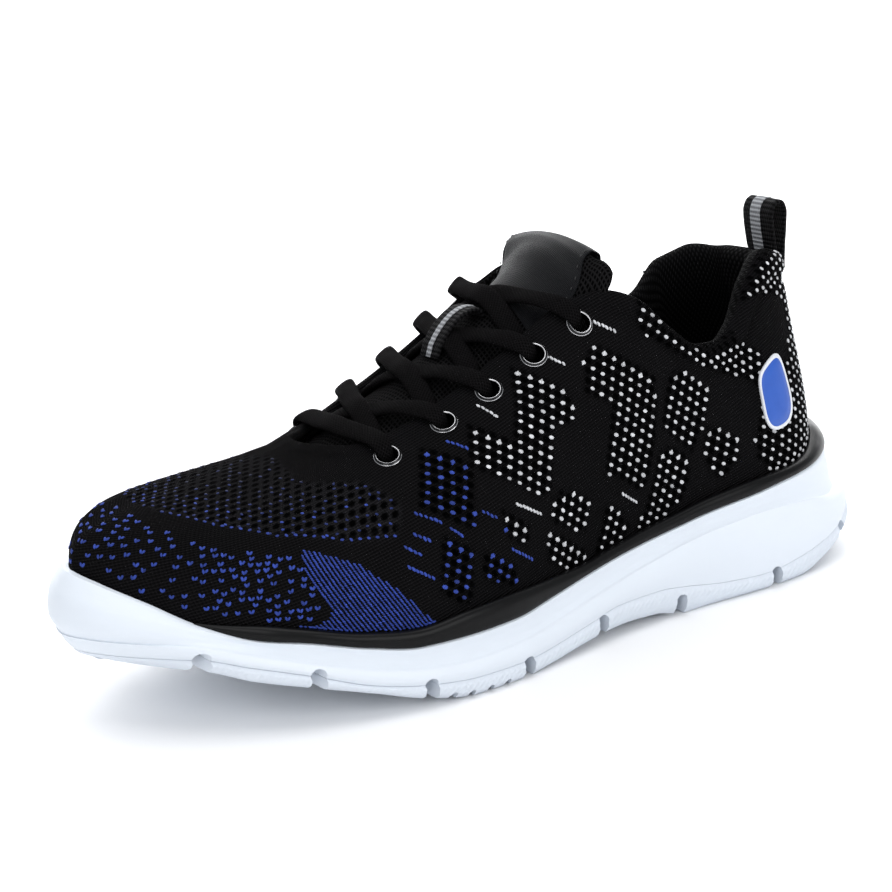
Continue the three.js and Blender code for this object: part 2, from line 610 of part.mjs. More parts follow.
function makePullLoop() {
  const heel = walls[0].curve;
  const top = heel.getPoint(1);
  let t = 1;
  while (heel.getPoint(t).z > top.z - LOOP_TAIL) t -= 0.01;
  const foot = heel.getPoint(t);
  const middle = foot.x - 2 * GAP - LOOP[0].half * LOOP_DEPTH;
  const half = tableCurve(LOOP, 'up', 'half');
  const lean = tableCurve(LOOP, 'up', 'lean');
  const point = (up, inset, side) => {
    const reach = Math.max(half(up) * LOOP_DEPTH - inset, 0);
    return [middle + lean(up) * LOOP_DEPTH + side * reach, foot.z + up * LOOP_RISE];
  };
  const ups = LOOP.map((r) => r.up);
  const outer = [
    ...ups.map((up) => point(up, 0, 1)),
    [middle + lean(1) * LOOP_DEPTH, foot.z + LOOP_RISE],
    ...ups.map((up) => point(up, 0, -1)).reverse(),
  ];
  const holeUps = ups.slice(2, -1);
  const hole = [
    [middle + lean(0.2) * LOOP_DEPTH, foot.z + 0.2 * LOOP_RISE],
    ...holeUps.map((up) => point(up, LOOP_THICKNESS, 1)),
    [middle + lean(0.95) * LOOP_DEPTH, foot.z + LOOP_RISE - LOOP_THICKNESS],
    ...holeUps.map((up) => point(up, LOOP_THICKNESS, -1)).reverse(),
  ];
  return acrossShoe(outer, hole, LOOP_WIDTH, 0);
}

// Badge: a plate with round corners that follows the wall.
function makeBadge() {
  const step = 0.02;
  const here = surfacePoint(BADGE_BASE, 1, BADGE_UP).point;
  const along = surfacePoint(BADGE_BASE + step, 1, BADGE_UP).point.distanceTo(here) / step;
  const upward = surfacePoint(BADGE_BASE, 1, BADGE_UP + step).point.distanceTo(here) / step;
  const corner = (angle) => {
    const round = (v) => Math.sign(v) * Math.abs(v) ** 0.45;
    return [round(Math.cos(angle)) * BADGE_WIDTH / 2, round(Math.sin(angle)) * BADGE_HEIGHT / 2];
  };
  const tilt = THREE.MathUtils.degToRad(BADGE_TILT);
  const ring = (size, lift) => Array.from({ length: 24 }, (_, k) => {
    const [across, rise] = corner((k / 24) * 2 * Math.PI);
    const a = across * Math.cos(tilt) - rise * Math.sin(tilt);
    const b = across * Math.sin(tilt) + rise * Math.cos(tilt);
    const place = surfacePoint(BADGE_BASE + (a * size) / along, 1, BADGE_UP + (b * size) / upward);
    return place.point.addScaledVector(place.normal, lift);
  });
  const low = 1.5 * GAP;
  const high = low + BADGE_THICKNESS;
  return skin([
    ring(0.3, low), ring(0.66, low), ring(1, low),
    ring(0.97, high), ring(0.66, high), ring(0.3, high),
  ], 'fan');
}

// A flat lace along a path, each step with its own up direction.
function laceStrand(steps) {
  const half = LACE_WIDTH / 2;
  const thick = LACE_THICKNESS / 2;
  const outlineOf = [
    [half, 0], [half * 0.7, thick], [-half * 0.7, thick],
    [-half, 0], [-half * 0.7, -thick], [half * 0.7, -thick],
  ];
  const sections = steps.map(({ point, up }, k) => {
    const before = steps[Math.max(k - 1, 0)].point;
    const after = steps[Math.min(k + 1, steps.length - 1)].point;
    const along = after.clone().sub(before).normalize();
    const side = new THREE.Vector3().crossVectors(along, up).normalize();
    const lift = new THREE.Vector3().crossVectors(side, along).normalize();
    return outlineOf.map(([a, b]) => point.clone().addScaledVector(side, a).addScaledVector(lift, b));
  });
  return skin(sections, 'fan');
}

function onTongue(x, y, height) {
  const step = 0.5;
  const slopeX = (tongueTop(x + step, y) - tongueTop(x - step, y)) / (2 * step);
  const slopeY = (tongueTop(x, y + step) - tongueTop(x, y - step)) / (2 * step);
  const up = new THREE.Vector3(-slopeX, -slopeY, 1).normalize();
  return { point: new THREE.Vector3(x, y, tongueTop(x, y)).addScaledVector(up, height), up };
}

const laceLow = GAP + LACE_THICKNESS / 2;
const laceOver = laceLow + LACE_THICKNESS * 0.85;
const laceClear = laceLow + LACE_THICKNESS + GAP;

// Steps from above an eyelet, over the edge of the opening, to the tongue.
function laceStart(place) {
  const over = 3 * GAP + EYELET_FLANGE + LACE_THICKNESS / 2;
  return [
    { point: place.point.clone().addScaledVector(place.normal, over), up: place.normal },
    { point: place.edge.clone().addScaledVector(place.normal, over + 6 * GAP), up: place.normal },
  ];
}

// A strand that starts on top of one eyelet and ends before it dives under the other edge.
function crossStrand(from, to, height) {
  const start = laceStart(from);
  const a = from.edge;
  const b = to.edge;
  const span = Math.hypot(b.x - a.x, b.y - a.y);
  const last = 1 - LACE_DIVE / span;
  const steps = [0.2, 0.3, 0.4, 0.5, 0.6, 0.7, last].map((f) => {
    const at = a.clone().lerp(b, f);
    const raise = height * smoothstep(0, 1, 1 - Math.abs(f - 0.5) / (last - 0.5));
    const early = (laceClear - laceLow) * (1 - smoothstep(0.2, 0.45, f));
    return onTongue(at.x, at.y, laceLow + GAP + raise + early);
  });
  return laceStrand([...start, ...steps]);
}

function makeBar(from, to) {
  const start = laceStart(from);
  const end = laceStart(to).reverse();
  const steps = [0.2, 0.35, 0.5, 0.65, 0.8].map((f) => {
    const at = from.edge.clone().lerp(to.edge, f);
    const toeward = BAR_BEND * Math.sin(Math.PI * f);
    return onTongue(at.x + toeward, at.y, laceClear);
  });
  return laceStrand([...start, ...steps, ...end]);
}

// A groove across the tread: deep at both sides, shallow in the middle.
function makeGroove(x, width, rise, reach, middle) {
  const at = x / LENGTH;
  const lateral = tableCurve(OUTLINE, 'x', 'lateral')(at) * BALL_WIDTH;
  const medial = tableCurve(OUTLINE, 'x', 'medial')(at) * BALL_WIDTH;
  const floor = soleLine.floor(at);
  const below = floor - SOLE_HEIGHT;
  const beyond = BALL_WIDTH * 0.1;
  const profile = [
    [lateral + beyond, below],
    [lateral + beyond, floor + rise],
    [lateral - reach, floor + rise],
    [lateral - reach - rise, floor + middle],
    [-medial + reach + rise, floor + middle],
    [-medial + reach, floor + rise],
    [-medial - beyond, floor + rise],
    [-medial - beyond, below],
  ];
  const shape = new THREE.Shape(profile.map(([y, z]) => new THREE.Vector2(y, z)));
  const geometry = new THREE.ExtrudeGeometry(shape, { depth: width, bevelEnabled: false });
  const axes = new THREE.Matrix4().makeBasis(
    new THREE.Vector3(0, 1, 0), new THREE.Vector3(0, 0, 1), new THREE.Vector3(1, 0, 0));
  return geometry.applyMatrix4(axes).translate(x - width / 2, 0, 0);
}

function makeHole(place) {
  const reach = 4 * WALL;
  const hole = new THREE.CylinderGeometry(EYELET_BARREL + GAP, EYELET_BARREL + GAP, 2 * reach, 10);
  return turnedTo(hole, place.point, place.normal);
}

const wasm = await Module();
wasm.setup();

// Shared corners merged, faces turned outward.
function cleaned(geometry) {
  geometry.deleteAttribute('normal');
  geometry.deleteAttribute('uv');
  const merged = mergeVertices(geometry, 1e-4);
  const position = merged.getAttribute('position');
  const points = [];
  for (let i = 0; i < position.count; i += 1) {
    points.push(new THREE.Vector3().fromBufferAttribute(position, i));
  }
  const index = merged.getIndex().array;
  const triangles = [];
  for (let i = 0; i < index.length; i += 3) {
    const [a, b, c] = [index[i], index[i + 1], index[i + 2]];
    if (a !== b && b !== c && a !== c) triangles.push([a, b, c]);
  }
  return bodyGeometry(points, triangles);
}

function toSolid(geometry) {
  const clean = cleaned(geometry);
  return new wasm.Manifold(new wasm.Mesh({
    numProp: 3,
    vertProperties: new Float32Array(clean.getAttribute('position').array),
    triVerts: new Uint32Array(clean.getIndex().array),
  }));
}

function toGeometry(solid) {
  const mesh = solid.getMesh();
  const geometry = new THREE.BufferGeometry();
  geometry.setAttribute('position', new THREE.BufferAttribute(new Float32Array(mesh.vertProperties), 3));
  geometry.setIndex(new THREE.BufferAttribute(new Uint32Array(mesh.triVerts), 1));
  geometry.computeVertexNormals();
  return geometry;
}

function without(geometry, cutters) {
  const rest = cutters.reduce((solid, cutter) => solid.subtract(toSolid(cutter)), toSolid(geometry));
  return toGeometry(rest);
}

function joined(first, second) {
  return toGeometry(toSolid(first).add(toSolid(second)));
}

const grooves = GROOVES.map((at) => (
  makeGroove(at * LENGTH, GROOVE_WIDTH, GROOVE_RISE, GROOVE_REACH, GROOVE_MIDDLE)));
const notches = NOTCHES.map((at) => (
  makeGroove(at * LENGTH, NOTCH_WIDTH, NOTCH_RISE, NOTCH_REACH, -NOTCH_RISE)));

const lateralEyelets = EYELET_BASES.map((base) => fromEdge(base, 1, EYELET_FROM_EDGE));
const medialEyelets = EYELET_BASES.map((base) => fromEdge(base, -1, EYELET_FROM_EDGE));

const white = { color: 0xe9eef6, roughness: 0.5, metalness: 0 };
const black = { color: 0x0e0f12, roughness: 0.85, metalness: 0 };
const shoe = new THREE.Group();

function add(name, geometry, look) {
  const mesh = new THREE.Mesh(cleaned(geometry), new THREE.MeshStandardMaterial(look));
  mesh.name = name;
  shoe.add(mesh);
}

add('outsole', without(makeOutsole(), [...grooves, ...notches]), white);
add('midsole', without(makeMidsole(), grooves), white);
add('rim', makeRim(), { ...black, roughness: 0.3 });
add('upper', without(makeUpperShell(), [...lateralEyelets, ...medialEyelets].map(makeHole)), black);
add('insole', makeInsole(), { ...black, roughness: 0.9 });
add('tongue', makeTongue(), black);
add('tongue_label', makeLabel(), { ...black, roughness: 0.45 });
add('lace_keeper', makeKeeper(), { ...black, roughness: 0.6 });
add('pull_loop', makePullLoop(), { ...black, roughness: 0.6 });
add('side_badge', makeBadge(), { color: 0x1c4fb8, roughness: 0.4, metalness: 0 });
lateralEyelets.forEach((place, i) => {
  add(`eyelet_lateral_${i + 1}`, makeEyelet(place), { color: 0x3c3f45, roughness: 0.35, metalness: 0.9 });
});
medialEyelets.forEach((place, i) => {
  add(`eyelet_medial_${i + 1}`, makeEyelet(place), { color: 0x3c3f45, roughness: 0.35, metalness: 0.9 });
});
add('lace_bar', makeBar(lateralEyelets[0], medialEyelets[0]), black);
for (let i = 0; i < EYELET_BASES.length - 1; i += 1) {
  const under = crossStrand(lateralEyelets[i + 1], medialEyelets[i], 0);
  const over = crossStrand(medialEyelets[i + 1], lateralEyelets[i], laceOver - laceLow);
  add(`lace_cross_${i + 1}`, joined(under, over), black);
}

const box = new THREE.Box3().setFromObject(shoe);
const middle = box.getCenter(new THREE.Vector3());
shoe.position.set(-middle.x, -middle.y, -box.min.z);
shoe.updateMatrixWorld(true);

export default shoe;
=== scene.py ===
import math

import bpy
import numpy as np
from mathutils import Matrix, Vector


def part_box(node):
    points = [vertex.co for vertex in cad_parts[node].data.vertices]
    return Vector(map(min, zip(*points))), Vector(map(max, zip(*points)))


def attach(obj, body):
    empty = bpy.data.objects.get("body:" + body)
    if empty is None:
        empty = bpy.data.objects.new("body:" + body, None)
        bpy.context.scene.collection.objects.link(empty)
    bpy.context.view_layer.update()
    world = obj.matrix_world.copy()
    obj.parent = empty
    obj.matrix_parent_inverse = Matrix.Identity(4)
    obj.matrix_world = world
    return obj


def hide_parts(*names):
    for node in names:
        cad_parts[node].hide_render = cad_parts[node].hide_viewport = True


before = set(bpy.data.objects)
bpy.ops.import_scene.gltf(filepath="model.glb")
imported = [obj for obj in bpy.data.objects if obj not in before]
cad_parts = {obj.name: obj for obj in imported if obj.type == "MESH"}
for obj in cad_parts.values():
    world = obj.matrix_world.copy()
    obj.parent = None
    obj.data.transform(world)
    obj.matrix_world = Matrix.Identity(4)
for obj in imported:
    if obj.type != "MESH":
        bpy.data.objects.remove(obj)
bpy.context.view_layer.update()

# Knitted safety sneaker for the left foot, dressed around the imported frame. Shapes are worked out in
# the shoe's own frame, in millimetres from the heel: +X to the toe, +Y to the outer side, +Z up.
# Sizes of the shoe
LENGTH = 295.0
BALL_WIDTH = 108.0
SOLE_HEIGHT = 36.0
COLLAR_HEIGHT = 107.0
GAP = 0.3

# Upper, rim and insole
UPPER_INSET = 6.8
TOE_LEAN = 1.2
HEEL_LEAN = 7.6
RIM_PROUD = 2.7
RIM_END = 0.905
WALL = 2.2
INSOLE_THICKNESS = 4.2
THROAT_SHIFT = 0.01
TOE_SHIFT = -0.035
MEDIAL_ANKLE_LIFT = 0.02
MEDIAL_TOE_LEAD = 0.045
MEDIAL_FULLNESS = 0.2
MEDIAL_HEEL_DROP = 0.025

# Sole grooves
GROOVE_WIDTH = 4.2
GROOVE_RISE = 0.19 * SOLE_HEIGHT
GROOVE_REACH = 13.0
GROOVE_MIDDLE = 2.2
NOTCH_WIDTH = 2.4
NOTCH_RISE = 2.2
NOTCH_REACH = 7.0
GROOVES = (0.073, 0.198, 0.335, 0.452, 0.567, 0.69, 0.803, 0.9)
NOTCHES = (0.597, 0.619, 0.643, 0.665)

# Sole details: ribs of the tread's band, steps at the foam's crease and under its toe lip
RIB_PITCH = 2.4
RIB_DEPTH = 0.3
CREASE_STEP = 0.55
LIP_STEP = 0.5
INSOLE_DISH = 1.3
SHARP_ANGLE = math.radians(38)
TREAD_COLUMNS = 1440
SOLE_COLUMNS = 720
INSOLE_COLUMNS = 240

# Tongue, label and keeper
TONGUE_HALF_WIDTH = 0.226 * BALL_WIDTH
LABEL_LENGTH = 19.5
LABEL_FOLD = 7.0
KEEPER_WIDTH = 10.0
KEEPER_LENGTH = 19.5
KEEPER_RISE = 7.6
KEEPER_THICKNESS = 1.3
KEEPER_AT = 0.516
KEEPER_ARCH = 0.92 * KEEPER_RISE
KEEPER_STRIPE = 0.24

# Tongue's free end leans to the inner side and widens on the outer side; its padding
THROAT_MIDDLE = THROAT_SHIFT * BALL_WIDTH
TONGUE_DRIFT = -4.0
TONGUE_FLARE = 0.34
TONGUE_STEPS = 110
TONGUE_ROUND = 1.6
TONGUE_ROLL = 0.7
TONGUE_DIP = 0.6
TONGUE_WRINKLE = 0.35
TONGUE_HEM = 2.4

# Label: wider than its plain solid and carried on under the laces, as the photo shows it
PATCH_HALF = 0.86 * TONGUE_HALF_WIDTH
PATCH_LENGTH = 1.5 * LABEL_LENGTH
PATCH_SEAT = 1.15
PATCH_UNDER = 0.3
PATCH_THICKNESS = 0.44
PATCH_BEND = 0.9
PATCH_LEAD = 1.15
STITCH_INSET = 1.5
STITCH_PITCH = 2.2
STITCH_LENGTH = 1.5

# Eyelets and laces
EYELET_FROM_EDGE = 8.0
EYELET_BASES = (0.678, 0.605, 0.543, 0.483, 0.423)
LACE_WIDTH = 6.8
LACE_THICKNESS = 2.4
LACE_DIVE = 8.0
BAR_BEND = 2.5
LACE_PUFF = 2.5
LACE_LOW = GAP + LACE_THICKNESS / 2
LACE_OVER = LACE_LOW + LACE_THICKNESS * 0.85
LACE_CLEAR = LACE_LOW + LACE_THICKNESS + GAP
LACE_STRAIGHT = 0.75
LACE_SOFTENING = 16
RING_RADIUS = 4.4
RING_BORE = 3.15
RING_HIGH = 0.75
RING_TURNS = 48

# Pull loop and badge
LOOP_WIDTH = 15.0
LOOP_THICKNESS = 1.7
LOOP_RISE = 28.0
LOOP_DEPTH = 7.4
LOOP_TAIL = 7.0
BADGE_WIDTH = 21.0
BADGE_HEIGHT = 25.0
BADGE_BASE = 0.15
BADGE_UP = 0.42
BADGE_TILT = math.radians(10)

# Webbing of the pull loop: where it leaves the heel, and its stripe, as shares of its sizes
LOOP_START = 0.17
STRIPE_WIDTH = 0.34
STRIPE_ASIDE = -0.05
STRIPE_THICKNESS = 0.35

# Patch of the heel, a little smaller than its plain solid, as the photo shows it
PATCH_WIDTH = 0.74 * BADGE_WIDTH
PATCH_HEIGHT = 0.88 * BADGE_HEIGHT
PATCH_LIFT = 1.3
PATCH_TURNS = 96

# Camera: target in the shoe's frame, direction and distance
CAMERA_TARGET = np.array([156.97, 0.0, 60.62])
CAMERA_AZIMUTH = math.radians(147.34)
CAMERA_ELEVATION = math.radians(15.38)
CAMERA_ROLL = math.radians(-4.05)
CAMERA_DISTANCE = 878.45
CAMERA_LENS = 112.1

# Plan outline of the sole, as shares of LENGTH and BALL_WIDTH
OUTLINE = np.array([
    # x, lateral, medial
    [0.0, 0.0, 0.0], [0.02, 0.15, 0.155], [0.055, 0.262, 0.26], [0.11, 0.347, 0.327],
    [0.2, 0.393, 0.352], [0.3, 0.393, 0.325], [0.4, 0.415, 0.315], [0.5, 0.47, 0.355],
    [0.58, 0.518, 0.415], [0.66, 0.53, 0.46], [0.74, 0.5, 0.472], [0.82, 0.425, 0.44],
    [0.89, 0.315, 0.37], [0.945, 0.2, 0.275], [0.985, 0.07, 0.165], [1.0, -0.045, 0.045],
])

# Heights along the sole's side, as shares of SOLE_HEIGHT
SOLE_LINES = np.array([
    # x, floor, band, crease, lip, rim, foot
    [0.0, 0.39, 0.47, 0.57, 1.0, 1.2, 0.86],
    [0.04, 0.23, 0.38, 0.59, 0.995, 1.2, 0.86],
    [0.075, 0.14, 0.31, 0.61, 0.985, 1.14, 0.855],
    [0.11, 0.07, 0.26, 0.66, 0.97, 1.08, 0.85],
    [0.155, 0.0, 0.2, 0.72, 0.945, 1.04, 0.84],
    [0.21, 0.0, 0.155, 0.74, 0.9, 1.02, 0.8],
    [0.27, 0.0, 0.18, 0.7, 0.85, 0.97, 0.75],
    [0.325, 0.0, 0.25, 0.64, 0.79, 0.9, 0.69],
    [0.365, 0.07, 0.29, 0.58, 0.75, 0.85, 0.65],
    [0.42, 0.095, 0.295, 0.505, 0.69, 0.78, 0.585],
    [0.47, 0.07, 0.24, 0.44, 0.63, 0.73, 0.525],
    [0.525, 0.02, 0.18, 0.37, 0.56, 0.725, 0.46],
    [0.565, 0.0, 0.155, 0.335, 0.52, 0.73, 0.42],
    [0.63, 0.0, 0.16, 0.315, 0.51, 0.71, 0.4],
    [0.69, 0.075, 0.205, 0.345, 0.515, 0.665, 0.405],
    [0.75, 0.22, 0.3, 0.44, 0.6, 0.72, 0.45],
    [0.81, 0.35, 0.465, 0.57, 0.72, 0.83, 0.525],
    [0.86, 0.45, 0.58, 0.69, 0.79, 0.92, 0.6],
    [0.905, 0.555, 0.67, 0.79, 0.93, 1.02, 0.67],
    [0.945, 0.575, 0.68, 0.82, 1.12, 1.16, 0.72],
    [1.0, 0.6, 0.69, 0.85, 1.36, 1.38, 0.78],
])

# Inset of the sole's side as shares of UPPER_INSET: tread from level 0 to 1, foam from 1 to 3
TREAD_PROFILE = np.array([
    # level, side, toe, heel
    [0.0, 0.38, 1.6, 0.6], [0.35, 0.07, 1.25, 0.2], [0.75, 0.0, 0.95, 0.03], [1.0, 0.13, 0.87, 0.15],
])
FOAM_PROFILE = np.array([
    # level, side, toe, heel
    [1.0, 0.13, 0.87, 0.15], [1.4, 0.03, 0.6, 0.1], [1.85, 0.12, 0.4, 0.25], [2.0, 0.24, 0.3, 0.75],
    [2.25, 0.52, 0.0, 0.9], [2.6, 0.65, 0.15, 1.05], [2.9, 0.62, 0.55, 1.16], [3.0, 0.75, 0.8, 1.24],
])

# Opening edge of the upper, by the foot of each wall line
OPENING = np.array([
    # base, x, y, z, pad, rise, drop, reach, lean
    [0.0, 0.084, 0.0, 0.92, 4.0, 0.3, 0.3, 0.2, -0.005],
    [0.025, 0.096, 0.125, 0.935, 4.0, 0.3, 0.3, 0.15, 0.0],
    [0.075, 0.132, 0.2, 0.958, 4.0, 0.3, 0.3, 0.1, 0.01],
    [0.13, 0.172, 0.25, 0.9, 3.8, 0.3, 0.3, 0.0, 0.02],
    [0.18, 0.205, 0.275, 0.785, 3.6, 0.3, 0.3, 0.0, 0.02],
    [0.225, 0.235, 0.292, 0.742, 3.4, 0.3, 0.3, 0.0, 0.03],
    [0.275, 0.27, 0.305, 0.755, 3.2, 0.32, 0.28, 0.1, 0.03],
    [0.32, 0.31, 0.312, 0.835, 3.0, 0.34, 0.24, 0.3, 0.035],
    [0.36, 0.35, 0.3, 0.945, 2.4, 0.38, 0.16, 0.5, 0.045],
    [0.395, 0.39, 0.255, 0.997, 1.6, 0.42, 0.08, 0.7, 0.05],
    [0.43, 0.428, 0.22, 0.978, 1.18, 0.44, 0.05, 0.78, 0.05],
    [0.49, 0.486, 0.207, 0.896, 1.18, 0.43, 0.055, 0.75, 0.045],
    [0.55, 0.543, 0.199, 0.815, 1.18, 0.42, 0.065, 0.7, 0.03],
    [0.615, 0.601, 0.189, 0.745, 1.18, 0.44, 0.08, 0.66, 0.01],
    [0.685, 0.661, 0.168, 0.69, 1.18, 0.46, 0.12, 0.6, 0.0],
    [0.775, 0.69, 0.122, 0.682, 1.18, 0.54, 0.22, 0.6, 0.0],
    [0.87, 0.706, 0.08, 0.681, 1.18, 0.62, 0.32, 0.62, 0.0],
    [0.95, 0.713, 0.038, 0.681, 1.18, 0.65, 0.38, 0.66, 0.0],
    [1.0, 0.715, 0.0, 0.681, 1.18, 0.66, 0.4, 0.68, 0.0],
])

# Tongue by share of LENGTH; crown and thickness as shares of TONGUE_HALF_WIDTH
TONGUE = np.array([
    # x, top, crown, thickness
    [0.362, 1.1, 0.16, 0.26], [0.37, 1.12, 0.18, 0.36], [0.383, 1.12, 0.28, 0.38],
    [0.398, 1.105, 0.56, 0.36], [0.424, 1.055, 0.76, 0.3], [0.486, 0.94, 0.64, 0.25],
    [0.543, 0.848, 0.55, 0.23], [0.6, 0.768, 0.46, 0.22], [0.66, 0.69, 0.42, 0.18],
    [0.7, 0.636, 0.42, 0.14], [0.735, 0.588, 0.44, 0.11],
])

# Pull loop: half as a share of LOOP_DEPTH, lean forward as a share of LOOP_DEPTH
LOOP = np.array([
    # up, half, lean
    [0.0, 0.2, 0.0], [0.16, 0.2, 0.1], [0.3, 0.27, 0.16], [0.5, 0.38, 0.2], [0.7, 0.47, 0.2],
    [0.84, 0.5, 0.18], [0.93, 0.4, 0.16], [0.98, 0.22, 0.14],
])


def table_curve(rows, column):
    """Smooth curve through the rows of a table, without overshoot; the first column runs across."""
    xs = rows[:, 0]
    ys = rows[:, column]
    slopes = np.diff(ys) / np.diff(xs)
    tangents = np.zeros(len(ys))
    tangents[0] = slopes[0]
    tangents[-1] = slopes[-1]
    for i in range(1, len(ys) - 1):
        a, b = slopes[i - 1], slopes[i]
        tangents[i] = 0.0 if a * b <= 0 else 2 * a * b / (a + b)

    def curve(x):
        at = np.clip(np.asarray(x, float), xs[0], xs[-1])
        i = np.clip(np.searchsorted(xs, at, side="left") - 1, 0, len(xs) - 2)
        width = xs[i + 1] - xs[i]
        t = (at - xs[i]) / width
        a = ys[i] * (2 * t ** 3 - 3 * t ** 2 + 1)
        b = ys[i + 1] * (3 * t ** 2 - 2 * t ** 3)
        c = tangents[i] * width * (t ** 3 - 2 * t ** 2 + t)
        d = tangents[i + 1] * width * (t ** 3 - t ** 2)
        return a + b + c + d

    return curve


def smoothstep(low, high, value):
    """Soft step from 0 at low to 1 at high."""
    t = np.clip((np.asarray(value, float) - low) / (high - low), 0, 1)
    return t * t * (3 - 2 * t)


def unit(v):
    """Vectors at length 1."""
    return v / np.maximum(np.linalg.norm(v, axis=-1, keepdims=True), 1e-12)


def rounded(value, power):
    """A power that keeps the sign, for ovals with squarer corners."""
    return np.sign(value) * np.abs(value) ** power


def run_lengths(line):
    """Length along a line of points, from 0 at its first point."""
    return np.concatenate([[0], np.cumsum(np.linalg.norm(np.diff(line, axis=0), axis=1))])


def outline_points(count):
    """Plan outline: half of the points from the heel round the outer side to the toe, then back."""
    lateral = [(x, y) for x, y, _ in OUTLINE]
    medial = [(x, -y) for x, _, y in OUTLINE[1:-1]][::-1]
    knots = np.array(lateral + medial) * (LENGTH, BALL_WIDTH)
    n = len(knots)
    dense = 40
    raw = []
    for k in range(n):
        p0, p1, p2, p3 = (knots[(k + j) % n] for j in (-1, 0, 1, 2))
        d0, d1, d2 = (math.sqrt(np.linalg.norm(b - a)) for a, b in ((p0, p1), (p1, p2), (p2, p3)))
        t1 = ((p1 - p0) / d0 - (p2 - p0) / (d0 + d1) + (p2 - p1) / d1) * d1
        t2 = ((p2 - p1) / d1 - (p3 - p1) / (d1 + d2) + (p3 - p2) / d2) * d1
        t = (np.arange(dense) / dense)[:, None]
        raw.append(p1 + t1 * t + (-3 * p1 + 3 * p2 - 2 * t1 - t2) * t ** 2
                   + (2 * p1 - 2 * p2 + t1 + t2) * t ** 3)
    raw = np.vstack(raw + [raw[0][:1]])
    toe = (len(OUTLINE) - 1) * dense

    def half(line):
        lengths = run_lengths(line)
        want = lengths[-1] * np.arange(count // 2) / (count // 2)
        return np.stack([np.interp(want, lengths, line[:, k]) for k in range(2)], axis=1)

    return np.vstack([half(raw[:toe + 1]), half(raw[toe:])])


class Plan:
    """Samples around the foot, with their outward direction and their shares of toe and heel."""

    def __init__(self, count):
        self.count = count
        self.at = outline_points(count)
        along = unit(np.roll(self.at, -1, axis=0) - np.roll(self.at, 1, axis=0))
        self.out = np.stack([-along[:, 1], along[:, 0]], axis=1)
        self.share = np.clip(self.at[:, 0] / LENGTH, 0, 1)
        self.inner = np.arange(count) > count // 2
        lead = MEDIAL_TOE_LEAD * smoothstep(0.8, 0.93, self.share)
        self.sole = np.where(self.inner, np.minimum(self.share + lead, 1), self.share)
        self.toe = smoothstep(0.86, 1, self.share)
        self.heel = 1 - smoothstep(0, 0.16, self.share)
        self.inset = UPPER_INSET + self.toe * TOE_LEAN + self.heel * HEEL_LEAN
        names = ("floor", "band", "crease", "lip", "rim", "foot")
        self.line = {name: table_curve(SOLE_LINES, k + 1)(self.sole) * SOLE_HEIGHT
                     for k, name in enumerate(names)}
        closed = np.vstack([self.at, self.at[:1]])
        self.around = run_lengths(closed)[:-1]

    def row(self, inset, height):
        plan = self.at - self.out * np.broadcast_to(inset, (self.count,))[:, None]
        return np.column_stack([plan, np.broadcast_to(height, (self.count,))])

    def level_height(self, level):
        lines = [self.line[name] for name in ("floor", "band", "crease", "lip")]
        below = min(int(level), 2)
        return lines[below] + (lines[below + 1] - lines[below]) * (level - below)

    def profile_inset(self, profile, level):
        side, toe, heel = (table_curve(profile, k)(level) for k in (1, 2, 3))
        return (side + (toe - side) * self.toe + (heel - side) * self.heel) * UPPER_INSET


class Walls:
    """Wall lines of the upper: one cubic curve per sample, from the rim up to the opening's edge."""

    def __init__(self, plan):
        self.plan = plan
        base = plan.share
        names = ("x", "y", "z", "pad", "rise", "drop", "reach", "lean")
        get = {name: table_curve(OPENING, k + 1)(base) for k, name in enumerate(names)}
        side = np.where(plan.inner, -1.0, 1.0)
        inner = plan.inner.astype(float)
        middle = THROAT_SHIFT * smoothstep(0, 0.3, base) + TOE_SHIFT * smoothstep(0.75, 1, base)
        ankle = smoothstep(0.1, 0.2, base) * (1 - smoothstep(0.3, 0.4, base))
        heel = smoothstep(0, 0.05, base) * (1 - smoothstep(0.09, 0.15, base))
        lift = inner * (MEDIAL_ANKLE_LIFT * ankle - MEDIAL_HEEL_DROP * heel)
        full = inner * MEDIAL_FULLNESS * smoothstep(0.6, 0.85, base) * (1 - smoothstep(0.975, 1, base))
        top = np.column_stack([get["x"] * LENGTH, (get["y"] * side + middle) * BALL_WIDTH,
                               (get["z"] + lift) * COLLAR_HEIGHT])
        self.foot = plan.row(plan.inset, plan.line["foot"] + GAP)
        start = self.foot.copy()
        start[:, 2] = plan.line["rim"] + GAP
        height = top[:, 2] - start[:, 2]
        low = start.copy()
        low[:, 2] += (get["rise"] + full) * height
        low[:, :2] += plan.out * (get["lean"] * BALL_WIDTH)[:, None]
        high = top.copy()
        high[:, :2] += (start - top)[:, :2] * get["reach"][:, None]
        high[:, 2] -= get["drop"] * height
        self.knots = (start, low, high, top)
        self.pad = get["pad"] * WALL

    def points(self, t):
        """Points of every wall line at share t: array (samples, 3)."""
        a, b, c, d = self.knots
        return a * (1 - t) ** 3 + 3 * b * t * (1 - t) ** 2 + 3 * c * t ** 2 * (1 - t) + d * t ** 3

    def grid(self, ts):
        """Points and outward normals for a list of shares: arrays (shares, samples, 3)."""
        points = np.array([self.points(t) for t in ts])
        step = 0.01
        up = np.array([self.points(min(t + step, 1)) - self.points(max(t - step, 0)) for t in ts])
        around = np.roll(points, -1, axis=1) - np.roll(points, 1, axis=1)
        return points, unit(np.cross(up, around))

    def thickness(self, t):
        return WALL + (self.pad - WALL) * smoothstep(0.35, 0.95, t)


def grid_quads(rows, columns, wrap=True, start=0):
    """Quads between rows of a grid, which may wrap around at the end of each row."""
    r = np.arange(rows - 1)[:, None]
    c = np.arange(columns if wrap else columns - 1)[None, :]
    d = (c + 1) % columns
    quads = np.stack([r * columns + c, r * columns + d, (r + 1) * columns + d, (r + 1) * columns + c], -1)
    return quads.reshape(-1, 4) + start


